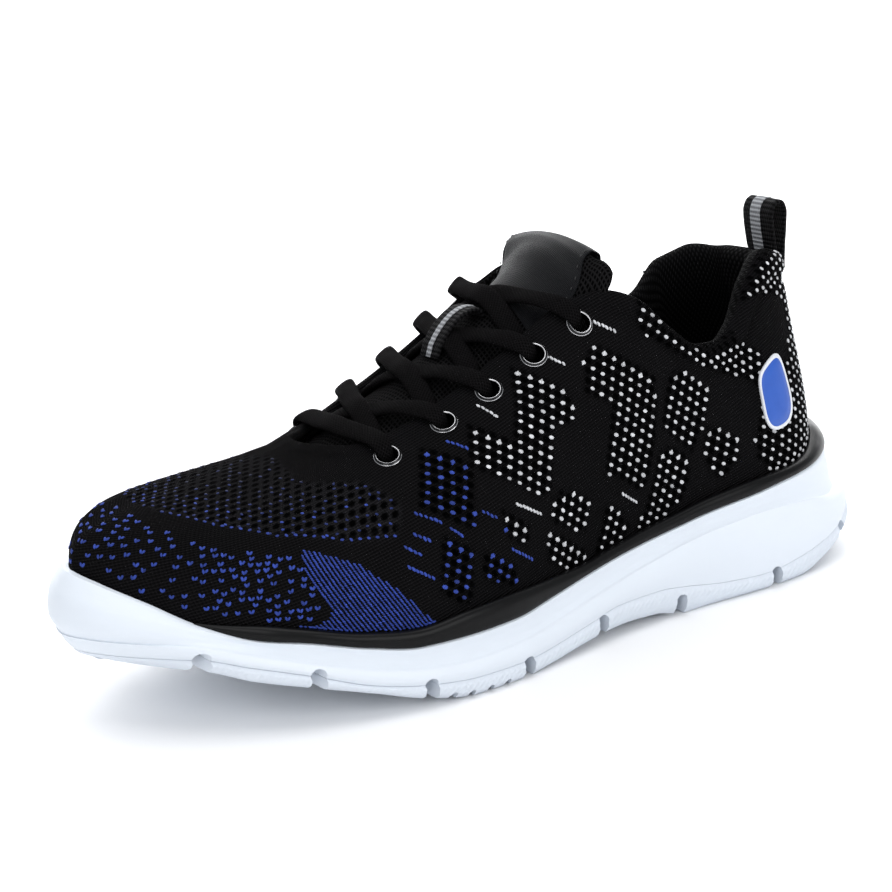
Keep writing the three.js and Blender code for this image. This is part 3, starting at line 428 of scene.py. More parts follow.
def grid_uv(u, v):
    """Corner coordinates for grid_quads; u and v are grids with one more column than the points."""
    uv = np.stack([u, v], -1)
    corners = np.stack([uv[:-1, :-1], uv[:-1, 1:], uv[1:, 1:], uv[1:, :-1]], 2)
    return corners.reshape(-1, 4, 2)


def signed_volume(points, quads):
    """Volume inside closed quads, below 0 where they face inwards."""
    a, b, c, d = (points[quads[:, k]] for k in range(4))
    return (np.einsum("ij,ij->", a, np.cross(b, c)) + np.einsum("ij,ij->", a, np.cross(c, d))) / 6


def shoe_mesh(name, points, quads):
    """A closed mesh from points in the shoe's frame, and whether its faces had to be turned outwards."""
    points = np.asarray(points, float)
    turned = signed_volume(points, quads) < 0
    mesh = bpy.data.meshes.new(name)
    mesh.from_pydata(metres(points).tolist(), [], (quads[:, ::-1] if turned else quads).tolist())
    return mesh, turned


def add_object(name, data):
    """An object of the scene with the given data."""
    made = bpy.data.objects.new(name, data)
    bpy.context.scene.collection.objects.link(made)
    return made


def make_piece(name, points, quads, materials, replaces=(), uv=None, slots=None, floats=None):
    """A mesh piece from points in the shoe's frame, riding on the shoe's one body."""
    mesh, turned = shoe_mesh(name, points, quads)
    if uv is not None:
        uv = uv[:, ::-1] if turned else uv
        layer = mesh.uv_layers.new(name="weave")
        layer.data.foreach_set("uv", np.ascontiguousarray(uv, dtype=np.float32).ravel())
    for material in materials:
        mesh.materials.append(material)
    if slots is not None:
        mesh.polygons.foreach_set("material_index", np.asarray(slots, dtype=np.int32))
    for key, values in (floats or {}).items():
        attribute = mesh.attributes.new(key, "FLOAT", "POINT")
        attribute.data.foreach_set("value", np.asarray(values, dtype=np.float32))
    mesh.shade_smooth()
    mesh.update()
    piece = add_object(name, mesh)
    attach(piece, "root")
    if replaces:
        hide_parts(*replaces)
    return piece


def last_to_first(rows, count):
    """Quads from the last row of a wrapped grid back to its first row."""
    here = np.arange(count)
    after = (here + 1) % count
    last = (rows - 1) * count
    return np.stack([last + here, last + after, after, here], -1)


def cap_quads(first, count):
    """Closes a ring of count points, an even number, with strips between opposite points."""
    quads = []
    for i in range(count // 2 - 1):
        quads.append([first + i, first + i + 1, first + count - 2 - i, first + count - 1 - i])
    return np.array(quads)


def closed_quads(rows, count, start=0):
    """Quads of a tube of rings that is closed across its first and its last ring."""
    return np.vstack([grid_quads(rows, count, start=start), cap_quads(start, count)[:, ::-1],
                      cap_quads(start + (rows - 1) * count, count)])


def cut(piece, cutter):
    """Takes cutter's solid out of a piece and removes the cutter."""
    modifier = piece.modifiers.new("cut", "BOOLEAN")
    modifier.operation = "DIFFERENCE"
    modifier.solver = "MANIFOLD"
    modifier.object = cutter
    graph = bpy.context.evaluated_depsgraph_get()
    made = bpy.data.meshes.new_from_object(piece.evaluated_get(graph))
    piece.modifiers.clear()
    old = piece.data
    made.name = old.name
    piece.data = made
    bpy.data.meshes.remove(old)
    bpy.data.objects.remove(cutter)


# From the shoe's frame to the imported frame: the keeper's middle is known in both.
keeper_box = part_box("lace_keeper")
SHIFT = np.array([
    (keeper_box[0].x + keeper_box[1].x) * 500 - KEEPER_AT * LENGTH,
    (keeper_box[0].y + keeper_box[1].y) * 500 - THROAT_SHIFT * BALL_WIDTH,
    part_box("outsole")[0].z * 1000,
])


def metres(points):
    """Points of the shoe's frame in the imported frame."""
    return (np.asarray(points, float) + SHIFT) / 1000


class Look:
    """A material: a principled shader with helpers that chain math nodes."""

    def __init__(self, name, **settings):
        self.material = bpy.data.materials.new(name)
        self.material.use_nodes = True
        self.tree = self.material.node_tree
        self.shader = self.tree.nodes["Principled BSDF"]
        for key, value in settings.items():
            self.shader.inputs[key.replace("_", " ")].default_value = value

    def node(self, kind, **settings):
        made = self.tree.nodes.new("ShaderNode" + kind)
        for key, value in settings.items():
            setattr(made, key, value)
        return made

    def link(self, source, target):
        self.tree.links.new(source, target)

    def put(self, target, value):
        if isinstance(value, (int, float, tuple)):
            target.default_value = value
        else:
            self.link(value, target)

    def math(self, operation, *values, clamp=False):
        made = self.node("Math", operation=operation, use_clamp=clamp)
        for target, value in zip(made.inputs, values):
            self.put(target, value)
        return made.outputs[0]

    def uv(self, scale=1.0):
        """The two coordinates of the weave layer, in millimetres."""
        layer = self.node("UVMap", uv_map="weave")
        parts = self.node("SeparateXYZ")
        self.link(layer.outputs["UV"], parts.inputs[0])
        return [self.math("MULTIPLY", parts.outputs[k], scale) for k in range(2)]

    def plan(self):
        """The shoe's own x and y under each place, in millimetres."""
        place = self.node("TexCoord")
        parts = self.node("SeparateXYZ")
        self.link(place.outputs["Object"], parts.inputs[0])
        return [self.math("SUBTRACT", self.math("MULTIPLY", parts.outputs[k], 1000.0), float(SHIFT[k]))
                for k in range(2)]

    def wave(self, u, v, along, across, phase=0.0):
        """Sine of u * along + v * across, from 0 to 1; along and across are turns per millimetre."""
        sum_of = self.math("ADD", self.math("MULTIPLY", u, along), self.math("MULTIPLY", v, across))
        turned = self.math("ADD", self.math("MULTIPLY", sum_of, 2 * math.pi), phase)
        return self.math("MULTIPLY_ADD", self.math("SINE", turned), 0.5, 0.5)

    def noise(self, scale, detail=3.0, roughness=0.6):
        """Cloudy value from the object's own coordinates, scale in bumps per metre."""
        place = self.node("TexCoord")
        made = self.node("TexNoise")
        self.link(place.outputs["Object"], made.inputs["Vector"])
        made.inputs["Scale"].default_value = scale
        made.inputs["Detail"].default_value = detail
        made.inputs["Roughness"].default_value = roughness
        return made.outputs["Fac"]

    def value(self, name):
        return self.node("Attribute", attribute_name=name).outputs["Fac"]

    def span(self, value, low, high, to_low=0.0, to_high=1.0):
        made = self.node("MapRange", interpolation_type="SMOOTHSTEP")
        for target, given in zip(made.inputs, (value, low, high, to_low, to_high)):
            self.put(target, given)
        return made.outputs[0]

    def mix(self, share, first, second):
        """Colour between two, each a colour or another mix."""
        made = self.node("Mix", data_type="RGBA")
        self.put(made.inputs["Factor"], share)
        for key, value in ((6, first), (7, second)):
            self.put(made.inputs[key], value + (1.0,) if isinstance(value, tuple) else value)
        return made.outputs[2]

    def color(self, value):
        self.link(value, self.shader.inputs["Base Color"])

    def rough(self, value):
        self.link(value, self.shader.inputs["Roughness"])

    def bump(self, height, depth, strength=1.0):
        """Relief from a height between 0 and 1, depth in millimetres."""
        made = self.node("Bump")
        made.inputs["Strength"].default_value = strength
        made.inputs["Distance"].default_value = depth / 1000
        self.link(height, made.inputs["Height"])
        self.link(made.outputs["Normal"], self.shader.inputs["Normal"])
        return self.material


# Lattice of the knit: two steps between neighbouring dots, around the foot and up the wall, in mm
HEELWARD = np.array([-3.35, -2.42])
TOEWARD = np.array([0.95, -2.98])


def lattice_holes(look, u, v, size, first=HEELWARD, second=TOEWARD):
    """Small round pits between the dots of a lattice, 1 in the pits."""
    inverse = np.linalg.inv(np.column_stack([first, second]))
    offsets = []
    for row in inverse:
        at = look.math("ADD", look.math("MULTIPLY", u, float(row[0])),
                       look.math("MULTIPLY", v, float(row[1])))
        offsets.append(look.math("SUBTRACT", look.math("FRACT", at), 0.5))
    squares = [look.math("MULTIPLY", at, at) for at in offsets]
    away = look.math("SQRT", look.math("ADD", *squares))
    return look.span(away, size, size * 0.45)


# Open mesh of the vamp: steps between pits in plan, along the foot and across it, in mm
VAMP_ALONG = np.array([-3.3, 0.75])
VAMP_ACROSS = np.array([-1.3, -2.0])


def knit_look():
    """Black knit: fine slanting ribs, stitches along them, and open pits in the dotted zones, the pits
    coloured near-black as painted shade.
    """
    look = Look("black_knit", Roughness=0.9, Specular_IOR_Level=0.012, Sheen_Weight=0.0,
                Sheen_Roughness=0.5)
    u, v = look.uv()
    ribs = look.wave(u, v, 0.27, 0.98)
    stitches = look.wave(u, v, 0.92, -0.42)
    cords = look.math("MULTIPLY_ADD", stitches, 0.5, ribs)
    dotted = look.value("dotted")
    holes = look.math("MULTIPLY", lattice_holes(look, u, v, 0.4), dotted)
    x, y = look.plan()
    vamp = look.value("vamp")
    mesh = look.math("MULTIPLY", lattice_holes(look, x, y, 0.44, VAMP_ALONG, VAMP_ACROSS), vamp)
    pit_relief_and_shade = look.math("MAXIMUM", holes, mesh)
    cloud = look.noise(45.0)
    fuzz = look.noise(1300.0, 2.0)
    shade = look.math("MULTIPLY", cloud, 0.3)
    light = look.math("MULTIPLY_ADD", look.span(cords, 0.1, 1.45), 0.62, shade)
    light = look.math("MULTIPLY_ADD", fuzz, 0.3, light)
    fabric = look.mix(light, (0.0006, 0.0006, 0.0007), (0.0098, 0.0093, 0.01))
    fabric = look.mix(look.math("MULTIPLY", vamp, light), fabric, (0.0165, 0.016, 0.018))
    fabric = look.mix(look.math("MULTIPLY", dotted, 0.35), fabric, (0.0006, 0.0006, 0.0008))
    # Painted shade: the pits take a near-black colour, darker than the lining, for the shade inside the
    # mesh holes; the same mask sinks them in the bump
    look.color(look.mix(pit_relief_and_shade, fabric, (0.0004, 0.0004, 0.0005)))
    height = look.math("SUBTRACT", cords, look.math("MULTIPLY", pit_relief_and_shade, 2.6))
    return look.bump(height, 0.42)


def lining_look():
    """Spacer mesh of the collar's inside, with a slight sheen."""
    look = Look("collar_lining", Roughness=0.8, Specular_IOR_Level=0.03, Sheen_Weight=0.01,
                Sheen_Roughness=0.4)
    u, v = look.uv()
    first = look.wave(u, v, 0.62, 0.31)
    second = look.wave(u, v, -0.62, 0.31)
    mesh = look.math("MULTIPLY", first, second)
    look.color(look.mix(look.span(mesh, 0.05, 0.6), (0.0008, 0.0008, 0.0009), (0.0075, 0.0073, 0.0078)))
    return look.bump(mesh, 0.4)


def yarn_look(name, dark, bright, sheen):
    """Bright yarn of the dots, each a little different."""
    look = Look(name, Roughness=0.62, Specular_IOR_Level=0.2, Sheen_Weight=sheen)
    own = look.math("MULTIPLY", look.value("tone"), 0.75)
    tone = look.math("MULTIPLY_ADD", look.noise(900.0), 0.35, own)
    look.color(look.mix(tone, dark, bright))
    return look.bump(look.noise(2600.0), 0.12)


def foam_look(name, bright, rough):
    """Moulded white foam or rubber with a faint skin texture and a touch of blue."""
    look = Look(name, Roughness=rough, Specular_IOR_Level=0.42)
    cloud = look.noise(35.0, 4.0)
    grain = look.noise(1500.0, 2.0)
    low = tuple(c * 0.955 for c in bright)
    look.color(look.mix(cloud, low, bright))
    look.rough(look.math("MULTIPLY_ADD", grain, 0.16, rough - 0.08))
    return look.bump(grain, 0.035)


def gloss_look():
    """Smooth black band with a broken shine."""
    look = Look("gloss_rim", Roughness=0.36, Specular_IOR_Level=0.14, Coat_Weight=0.05,
                Coat_Roughness=0.25)
    cloud = look.noise(50.0, 4.0)
    look.color(look.mix(cloud, (0.002, 0.002, 0.0023), (0.005, 0.005, 0.0054)))
    look.rough(look.math("MULTIPLY_ADD", cloud, 0.16, 0.24))
    return look.bump(look.noise(900.0), 0.02)


def webbing_look(name, dark, bright, pitch, rough=0.68):
    """Ribbed tape: ribs across u, with a fine thread along v."""
    look = Look(name, Roughness=rough, Specular_IOR_Level=0.06, Sheen_Weight=0.0)
    u, v = look.uv()
    ribs = look.wave(u, v, 1 / pitch, 0.0)
    threads = look.wave(u, v, 0.5 / pitch, 1 / (pitch * 0.62))
    height = look.math("MULTIPLY_ADD", threads, 0.35, ribs)
    look.color(look.mix(look.span(height, 0.1, 1.2), dark, bright))
    return look.bump(height, 0.3)


def lace_look():
    """Round woven cord: a tight diagonal braid around it."""
    look = Look("lace_cord", Roughness=0.9, Specular_IOR_Level=0.015, Sheen_Weight=0.0)
    u, v = look.uv()
    one = look.wave(u, v, 0.8, 0.86)
    two = look.wave(u, v, 0.8, -0.86)
    braid = look.math("MAXIMUM", one, two)
    fuzz = look.noise(1400.0)
    look.color(look.mix(look.math("MULTIPLY", look.span(braid, 0.3, 1.0), fuzz),
                        (0.0016, 0.0015, 0.0016), (0.0098, 0.0091, 0.0097)))
    return look.bump(look.math("MULTIPLY_ADD", fuzz, 0.3, braid), 0.14)


def mesh_look():
    """Tongue fabric: a fine square mesh."""
    look = Look("black_mesh", Roughness=0.9, Specular_IOR_Level=0.015, Sheen_Weight=0.0)
    u, v = look.uv()
    along = look.wave(u, v, 0.72, 0.0)
    across = look.wave(u, v, 0.0, 0.72)
    mesh = look.math("MAXIMUM", along, across)
    look.color(look.mix(look.span(mesh, 0.35, 0.95), (0.0006, 0.0006, 0.0007), (0.0095, 0.0092, 0.0096)))
    return look.bump(mesh, 0.34)


def cloth_look():
    """Thin woven cloth of the insole."""
    look = Look("insole_cloth", Roughness=0.9, Specular_IOR_Level=0.1, Sheen_Weight=0.03)
    u, v = look.uv()
    weave = look.math("MULTIPLY", look.wave(u, v, 0.8, 0.8), look.wave(u, v, 0.8, -0.8))
    look.color(look.mix(weave, (0.006, 0.006, 0.0065), (0.02, 0.02, 0.022)))
    return look.bump(weave, 0.15)


def satin_look():
    """Woven label cloth: very fine threads with a soft shine."""
    look = Look("label_satin", Roughness=0.5, Specular_IOR_Level=0.08, Sheen_Weight=0.0)
    u, v = look.uv()
    threads = look.wave(u, v, 0.0, 1.9)
    cross = look.wave(u, v, 1.4, 0.0)
    weave = look.math("MULTIPLY_ADD", cross, 0.4, threads)
    look.color(look.mix(look.span(weave, 0.0, 1.4), (0.0022, 0.0023, 0.003), (0.0085, 0.009, 0.0105)))
    return look.bump(weave, 0.1)


def rubber_look(name, dark, bright, rough):
    """Matt rubber or thread, a little cloudy."""
    look = Look(name, Roughness=rough, Specular_IOR_Level=0.45)
    cloud = look.noise(180.0, 3.0)
    look.color(look.mix(cloud, dark, bright))
    return look.bump(look.noise(2200.0), 0.03)


def metal_look(name, dark, bright):
    """Plated metal, a little worn."""
    look = Look(name, Roughness=0.26, Metallic=1.0)
    cloud = look.noise(700.0, 3.0)
    look.color(look.mix(cloud, dark, bright))
    look.rough(look.math("MULTIPLY_ADD", cloud, 0.2, 0.16))
    return look.bump(look.noise(3000.0), 0.01)


BLACK_KNIT = knit_look()
LINING = lining_look()
WHITE_YARN = yarn_look("white_yarn", (0.12, 0.12, 0.125), (0.66, 0.67, 0.69), 0.05)
BLUE_YARN = yarn_look("blue_yarn", (0.002, 0.005, 0.035), (0.03, 0.064, 0.36), 0.03)
DIM_BLUE_YARN = yarn_look("dim_blue_yarn", (0.0008, 0.0014, 0.006), (0.011, 0.022, 0.115), 0.0)
WHITE_FOAM = foam_look("white_foam", (0.735, 0.785, 0.85), 0.5)
WHITE_TREAD = foam_look("white_tread", (0.69, 0.74, 0.81), 0.55)
GLOSS_RIM = gloss_look()
BLACK_WEBBING = webbing_look("black_webbing", (0.0008, 0.0008, 0.001), (0.0098, 0.0095, 0.0102), 1.5)
STRIPE = webbing_look("reflective_stripe", (0.16, 0.165, 0.175), (0.36, 0.37, 0.39), 1.5, 0.45)
LACE_CORD = lace_look()
BLACK_MESH = mesh_look()
INSOLE_CLOTH = cloth_look()
LABEL_SATIN = satin_look()
BADGE_BLUE = rubber_look("badge_rubber", (0.016, 0.08, 0.4), (0.026, 0.11, 0.5), 0.38)
BADGE_WHITE = rubber_look("badge_border", (0.62, 0.64, 0.68), (0.82, 0.84, 0.87), 0.42)
EYELET_METAL = metal_look("eyelet_metal", (0.012, 0.012, 0.013), (0.05, 0.05, 0.052))
# Painted highlight: bright metal colour for the shine lines of the dark eyelet rings
EYELET_HIGHLIGHT = metal_look("eyelet_painted_highlight", (0.42, 0.42, 0.43), (0.75, 0.75, 0.76))
PLAIN_THREAD = rubber_look("black_thread", (0.003, 0.003, 0.0035), (0.012, 0.012, 0.013), 0.6)


# Sole
def band_ribs(plan, height, share):
    """Slanting ribs of the tread's side band: how far each sample sinks in."""
    phase = (plan.around * np.where(plan.inner, -1, 1) + height) / RIB_PITCH
    wave = 0.5 + 0.5 * np.cos(2 * math.pi * phase)
    behind_toe = 1 - smoothstep(0.885, 0.9, plan.sole)
    return RIB_DEPTH * wave ** 1.5 * behind_toe * share


def tread_rows(plan):
    """Rows of the tread from the middle of its underside round the side to the middle of its top."""
    levels = np.concatenate([np.linspace(0, 0.35, 5), np.linspace(0.45, 0.95, 8), [1.0]])
    rows = []
    for level in levels:
        height = plan.level_height(level)
        share = float(smoothstep(0.12, 0.3, level) * (1 - smoothstep(0.9, 0.97, level)))
        inset = plan.profile_inset(TREAD_PROFILE, level) + band_ribs(plan, height, share)
        rows.append(plan.row(inset, height))
    return rows


def make_sole_piece(name, rows, material, node, cutters):
    """Closed sole piece through its rows, with the cutters' solids taken out of it."""
    count = len(rows[0])
    points = np.vstack(rows)
    piece = make_piece(name, points, closed_quads(len(rows), count), [material], [node])
    for cutter in cutters:
        cut(piece, cutter)
    piece.data.shade_smooth()
    piece.data.set_sharp_from_angle(angle=SHARP_ANGLE)
    return piece


def solid_object(name, points, quads):
    """A closed helper solid for cutting, from points in the shoe's frame."""
    mesh, _ = shoe_mesh(name, points, quads)
    mesh.update()
    return add_object(name, mesh)


def groove_solid(at, width, rise, reach, middle):
    """A rounded groove across the tread, deep at both sides and shallow in the middle."""
    x = at * LENGTH
    lateral = float(table_curve(OUTLINE, 1)(at)) * BALL_WIDTH
    medial = float(table_curve(OUTLINE, 2)(at)) * BALL_WIDTH
    floor = float(table_curve(SOLE_LINES, 1)(at)) * SOLE_HEIGHT
    beyond = BALL_WIDTH * 0.1
    stations = [
        (lateral + beyond, rise), (lateral - reach, rise), (lateral - reach - rise, middle),
        (-medial + reach + rise, middle), (-medial + reach, rise), (-medial - beyond, rise),
    ]
    half = width / 2
    rings = []
    for y, top in stations:
        arch = [(half * math.cos(a), top - half * 0.8 + half * 0.8 * math.sin(a))
                for a in np.linspace(0, math.pi, 10)]
        foot = [(-half * 1.15, -SOLE_HEIGHT), (half * 1.15, -SOLE_HEIGHT)]
        ring = [(half * 1.02, top - half)] + arch[1:-1] + [(-half * 1.02, top - half)] + foot
        rings.append([(x + dx, y, floor + dz) for dx, dz in ring])
    count = len(rings[0])
    points = np.array(rings).reshape(-1, 3)
    return solid_object("groove", points, closed_quads(len(rings), count))


def joined(objects):
    """Joins helper solids into one object."""
    with bpy.context.temp_override(active_object=objects[0], selected_editable_objects=objects):
        bpy.ops.object.join()
    return objects[0]


def all_grooves(with_notches):
    """One helper solid with every cross groove, and the small notches between them if wanted."""
    made = [groove_solid(at, GROOVE_WIDTH, GROOVE_RISE, GROOVE_REACH, GROOVE_MIDDLE) for at in GROOVES]
    if with_notches:
        made += [groove_solid(at, NOTCH_WIDTH, NOTCH_RISE, NOTCH_REACH, -NOTCH_RISE) for at in NOTCHES]
    return joined(made)


def make_outsole():
    """Tread: underside, ribbed side band and grooves."""
    plan = Plan(TREAD_COLUMNS)
    rows = tread_rows(plan)
    under = []
    for share in (0.92, 0.8, 0.6, 0.4, 0.2):
        ring = rows[0].copy()
        middle = ring[:, :2].copy()
        middle[:, 1] = 0
        ring[:, :2] = middle + (ring[:, :2] - middle) * share
        under.append(ring)
    return make_sole_piece("tread", under[::-1] + rows, WHITE_TREAD, "outsole",
                           [all_grooves(True)])


def make_midsole():
    """Foam sole with the crease along its side, the toe lip and the ends of the grooves."""
    plan = Plan(SOLE_COLUMNS)
    rows = []
    levels = np.concatenate([
        np.linspace(1.0, 1.9, 10), [1.96, 1.995, 2.01, 2.05], np.linspace(2.12, 2.84, 12),
        [2.9, 2.95, 2.985, 3.0],
    ])
    for level in levels:
        height = plan.level_height(level) + (GAP * 0.4 if level == 1.0 else 0)
        in_fold = float(smoothstep(1.993, 2.012, level)) * (1 - float(smoothstep(2.1, 2.5, level)))
        fold = CREASE_STEP * in_fold
        step = LIP_STEP * plan.toe * float(smoothstep(2.76, 2.8, level))
        inset = plan.profile_inset(FOAM_PROFILE, level) + fold + step
        rows.append(plan.row(inset, height))
    inner = plan.inset - GAP
    rows.append(plan.row(inner, plan.line["lip"]))
    rows.append(plan.row(inner, plan.line["foot"]))
    return make_sole_piece("foam_sole", rows, WHITE_FOAM, "midsole", [all_grooves(False)])


def make_rim():
    """Glossy band between sole and knit: a soft rounded section swept round the heel, open at the toe."""
    plan = Plan(SOLE_COLUMNS)
    order = np.array([k % plan.count for k in range(-plan.count // 2, plan.count // 2)])
    order = order[plan.share[order] < RIM_END + 0.004]
    low = plan.line["lip"] + GAP * 0.3
    inner = plan.inset - GAP
    fade = 1 - smoothstep(RIM_END - 0.07, RIM_END + 0.004, plan.share)
    high = low + (plan.line["rim"] - low) * (0.12 + 0.88 * np.sqrt(fade))
    proud = RIM_PROUD * (0.25 + 0.75 * fade)
    flare = plan.heel * HEEL_LEAN * 0.45
    section = [
        # share of proud, share of flare, share of height
        (0.0, 0.0, 0.0), (0.9, 0.95, 0.0), (1.0, 1.0, 0.04), (1.05, 1.0, 0.16), (1.05, 0.9, 0.32),
        (1.02, 0.72, 0.5), (0.95, 0.5, 0.66), (0.84, 0.28, 0.8), (0.66, 0.12, 0.91), (0.42, 0.0, 0.98),
        (0.2, 0.0, 1.0), (0.0, 0.0, 0.96), (-0.1, 0.0, 0.7), (-0.1, 0.0, 0.2),
    ]
    rows = []
    for out, share, up in section:
        rows.append(plan.row(inner - out * proud - share * flare, low + (high - low) * up)[order])
    rings = np.array(rows).transpose(1, 0, 2)
    count = len(section)
    return make_piece("gloss_band", rings.reshape(-1, 3), closed_quads(len(order), count), [GLOSS_RIM],
                      ["rim"])


def make_insole():
    """Footbed with a soft edge, pressed in towards its middle line."""
    plan = Plan(INSOLE_COLUMNS)
    clear = plan.inset + WALL + 2 * GAP
    foot = plan.line["foot"] + 2 * GAP
    rows = [plan.row(clear + 1, foot), plan.row(clear, foot + 0.6),
            plan.row(clear, foot + INSOLE_THICKNESS * 0.75),
            plan.row(clear + 0.6, foot + INSOLE_THICKNESS * 0.93),
            plan.row(clear + 1.8, foot + INSOLE_THICKNESS)]
    top = rows[-1]
    for share in (0.93, 0.8, 0.6, 0.4, 0.2):
        ring = top.copy()
        ring[:, 1] = top[:, 1] * share
        ring[:, 2] = top[:, 2] - INSOLE_DISH * (1 - share ** 2)
        rows.append(ring)
    points = np.vstack(rows)
    quads = closed_quads(len(rows), plan.count)
    uv = points[quads][:, :, :2]
    piece = make_piece("footbed", points, quads, [INSOLE_CLOTH], ["insole"], uv=uv)


# Upper
DOT_TURNS = 8
AROUND = 480
UP_WALL = 76
UNDER_WALL = 30
COLLAR_BAND = 4.6
DOTS_OVER_EDGE = 4.2
BAND_OVER_EDGE = 1.6
UPPER_PLAN = Plan(AROUND)
UPPER_WALLS = Walls(UPPER_PLAN)

# Soft troughs (negative) and ridges of the knit, pressed in one by one in the shoe's own sizes
CREASES = [
    # start (x, y, z), end (x, y, z), depth, width
    ((212, 46, 40), (200, 16, 70), -0.5, 5.0),
    ((203, 46, 42), (192, 20, 70), 0.35, 5.0),
    ((218, -46, 40), (206, -16, 70), -0.5, 5.0),
    ((209, -46, 42), (198, -20, 70), 0.35, 5.0),
    ((118, 38, 92), (84, 42, 52), -0.55, 7.0),
    ((118, -34, 92), (84, -36, 52), -0.55, 7.0),
    ((52, 34, 84), (20, 30, 56), -0.4, 6.0),
    ((52, -30, 84), (20, -28, 56), -0.4, 6.0),
    ((140, 44, 78), (128, 46, 48), 0.4, 8.0),
    ((140, -36, 78), (128, -37, 48), 0.4, 8.0),
]


def segment_distance(points, start, end):
    """Distance of points from a straight stretch."""
    start, end = np.array(start, float), np.array(end, float)
    along = end - start
    t = np.clip(((points - start) @ along) / (along @ along), 0, 1)
    return np.linalg.norm(points - start - t[..., None] * along, axis=-1)


def relief(points, from_edge, share):
    """How far the knit stands out: rolled collar band, the trough under it and soft creases."""
    padded = 1 - smoothstep(0.36, 0.43, share)
    roll = 0.55 * np.exp(-((from_edge - 1.6) / 2.2) ** 2) * padded
    trough = -0.75 * np.exp(-((from_edge - COLLAR_BAND - 1.2) / 1.7) ** 2) * padded
    hem = 0.3 * (1 - smoothstep(3.2, 4.0, from_edge)) * (1 - padded)
    out = roll + trough + hem
    for start, end, depth, width in CREASES:
        away = segment_distance(points, start, end)
        out = out + depth * np.exp(-(away / width) ** 2)
    return out


class Skin:
    """The upper's outer face as a grid, found by reach around the foot and height up the wall."""

    def __init__(self):
        plan, walls = UPPER_PLAN, UPPER_WALLS
        self.ts = np.linspace(0, 1, UP_WALL + 1)
        points, normals = walls.grid(self.ts)
        steps = np.linalg.norm(np.diff(points, axis=0), axis=2)
        self.up = np.vstack([np.zeros(AROUND), np.cumsum(steps, axis=0)])
        self.from_edge = self.up[-1] - self.up
        out = relief(points, self.from_edge, plan.share) * smoothstep(0, 0.12, self.ts)[:, None]
        self.points = points + normals * out[..., None]
        self.normals = normals
        self.rise = self.up + plan.line["rim"]
        middle = walls.points(0.375)
        half = AROUND // 2
        outer = np.arange(half + 1)
        inner = np.concatenate([[0], np.arange(AROUND - 1, half - 1, -1)])
        self.order = {1: outer, -1: inner}
        self.reach = {side: run_lengths(middle[cols]) for side, cols in self.order.items()}
        self.reach[-1] *= self.reach[1][-1] / self.reach[-1][-1]
        self.around = np.zeros(AROUND)
        for side, cols in self.order.items():
            self.around[cols] = self.reach[side]
        inner_top = points[-1] - normals[-1] * walls.thickness(1.0)[:, None]
        self.crown = (self.points[-1] + inner_top) / 2
        self.across = self.points[-1] - self.crown
        upward = unit(walls.points(1.0) - walls.points(0.97))
        share = (upward * self.across).sum(1) / (self.across ** 2).sum(1)
        upward = unit(upward - self.across * share[:, None])
        self.upward = upward * np.linalg.norm(self.across, axis=1, keepdims=True)

    def column(self, values, side, reach):
        """Values of a grid at a reach around the foot, between two columns."""
        at = self.reach[side]
        k = int(np.clip(np.searchsorted(at, reach) - 1, 0, len(at) - 2))
        f = float(np.clip((reach - at[k]) / (at[k + 1] - at[k]), 0, 1))
        a, b = self.order[side][k], self.order[side][k + 1]
        return values[:, a] * (1 - f) + values[:, b] * f

    def to_rise(self, reach, up):
        """Rise of the place that lies a height up the outer side's wall, at a reach around the foot."""
        return float(np.interp(up, self.column(self.up, 1, reach), self.column(self.rise, 1, reach)))

    def place(self, side, reach, rise):
        """Point, normal and distance to the opening's edge at a place of the skin."""
        rises = self.column(self.rise, side, reach)
        if rise > rises[-1]:
            return self.over_edge(side, reach, rise - rises[-1])
        at = np.interp(rise, rises, np.arange(len(rises)))
        k = min(int(at), UP_WALL - 1)
        f = at - k
        found = []
        for values in (self.points, self.normals, self.from_edge[..., None]):
            column = self.column(values, side, reach)
            found.append(column[k] * (1 - f) + column[k + 1] * f)
        return found[0], unit(found[1]), float(found[2][0])

    def over_edge(self, side, reach, beyond):
        """Place on the rounding of the opening's edge, beyond the outer face."""
        crown, across, upward = (self.column(values[None], side, reach)[0]
                                 for values in (self.crown, self.across, self.upward))
        turn = min(beyond / np.linalg.norm(across), math.pi / 2)
        away = across * math.cos(turn) + upward * math.sin(turn)
        return crown + away, unit(away), -beyond


SKIN = Skin()


def around_foot(share, side):
    """Column position of a share of the length on one side, as two columns and the way between."""
    order = SKIN.order[side]
    shares = UPPER_PLAN.share[order]
    k = int(np.clip(np.searchsorted(shares, share) - 1, 0, len(order) - 2))
    return order[k], order[k + 1], (share - shares[k]) / (shares[k + 1] - shares[k])


def wall_place(share, side, t):
    """Point and normal of the smooth wall at a share of the length and a share of its height."""
    a, b, f = around_foot(share, side)
    points, normals = UPPER_WALLS.grid([t])
    return points[0, a] * (1 - f) + points[0, b] * f, unit(normals[0, a] * (1 - f) + normals[0, b] * f)


def eyelet_place(base, side):
    """Eyelet's middle and normal on the wall, and the nearest point of the opening's edge."""
    edge = wall_place(base, side, 1.0)[0]
    t = 1.0
    while t > 0 and np.linalg.norm(wall_place(base, side, t)[0] - edge) < EYELET_FROM_EDGE:
        t -= 0.005
    point, normal = wall_place(base, side, t)
    return {"point": point, "normal": normal, "edge": edge}


LATERAL_EYELETS = [eyelet_place(base, 1) for base in EYELET_BASES]
MEDIAL_EYELETS = [eyelet_place(base, -1) for base in EYELET_BASES]


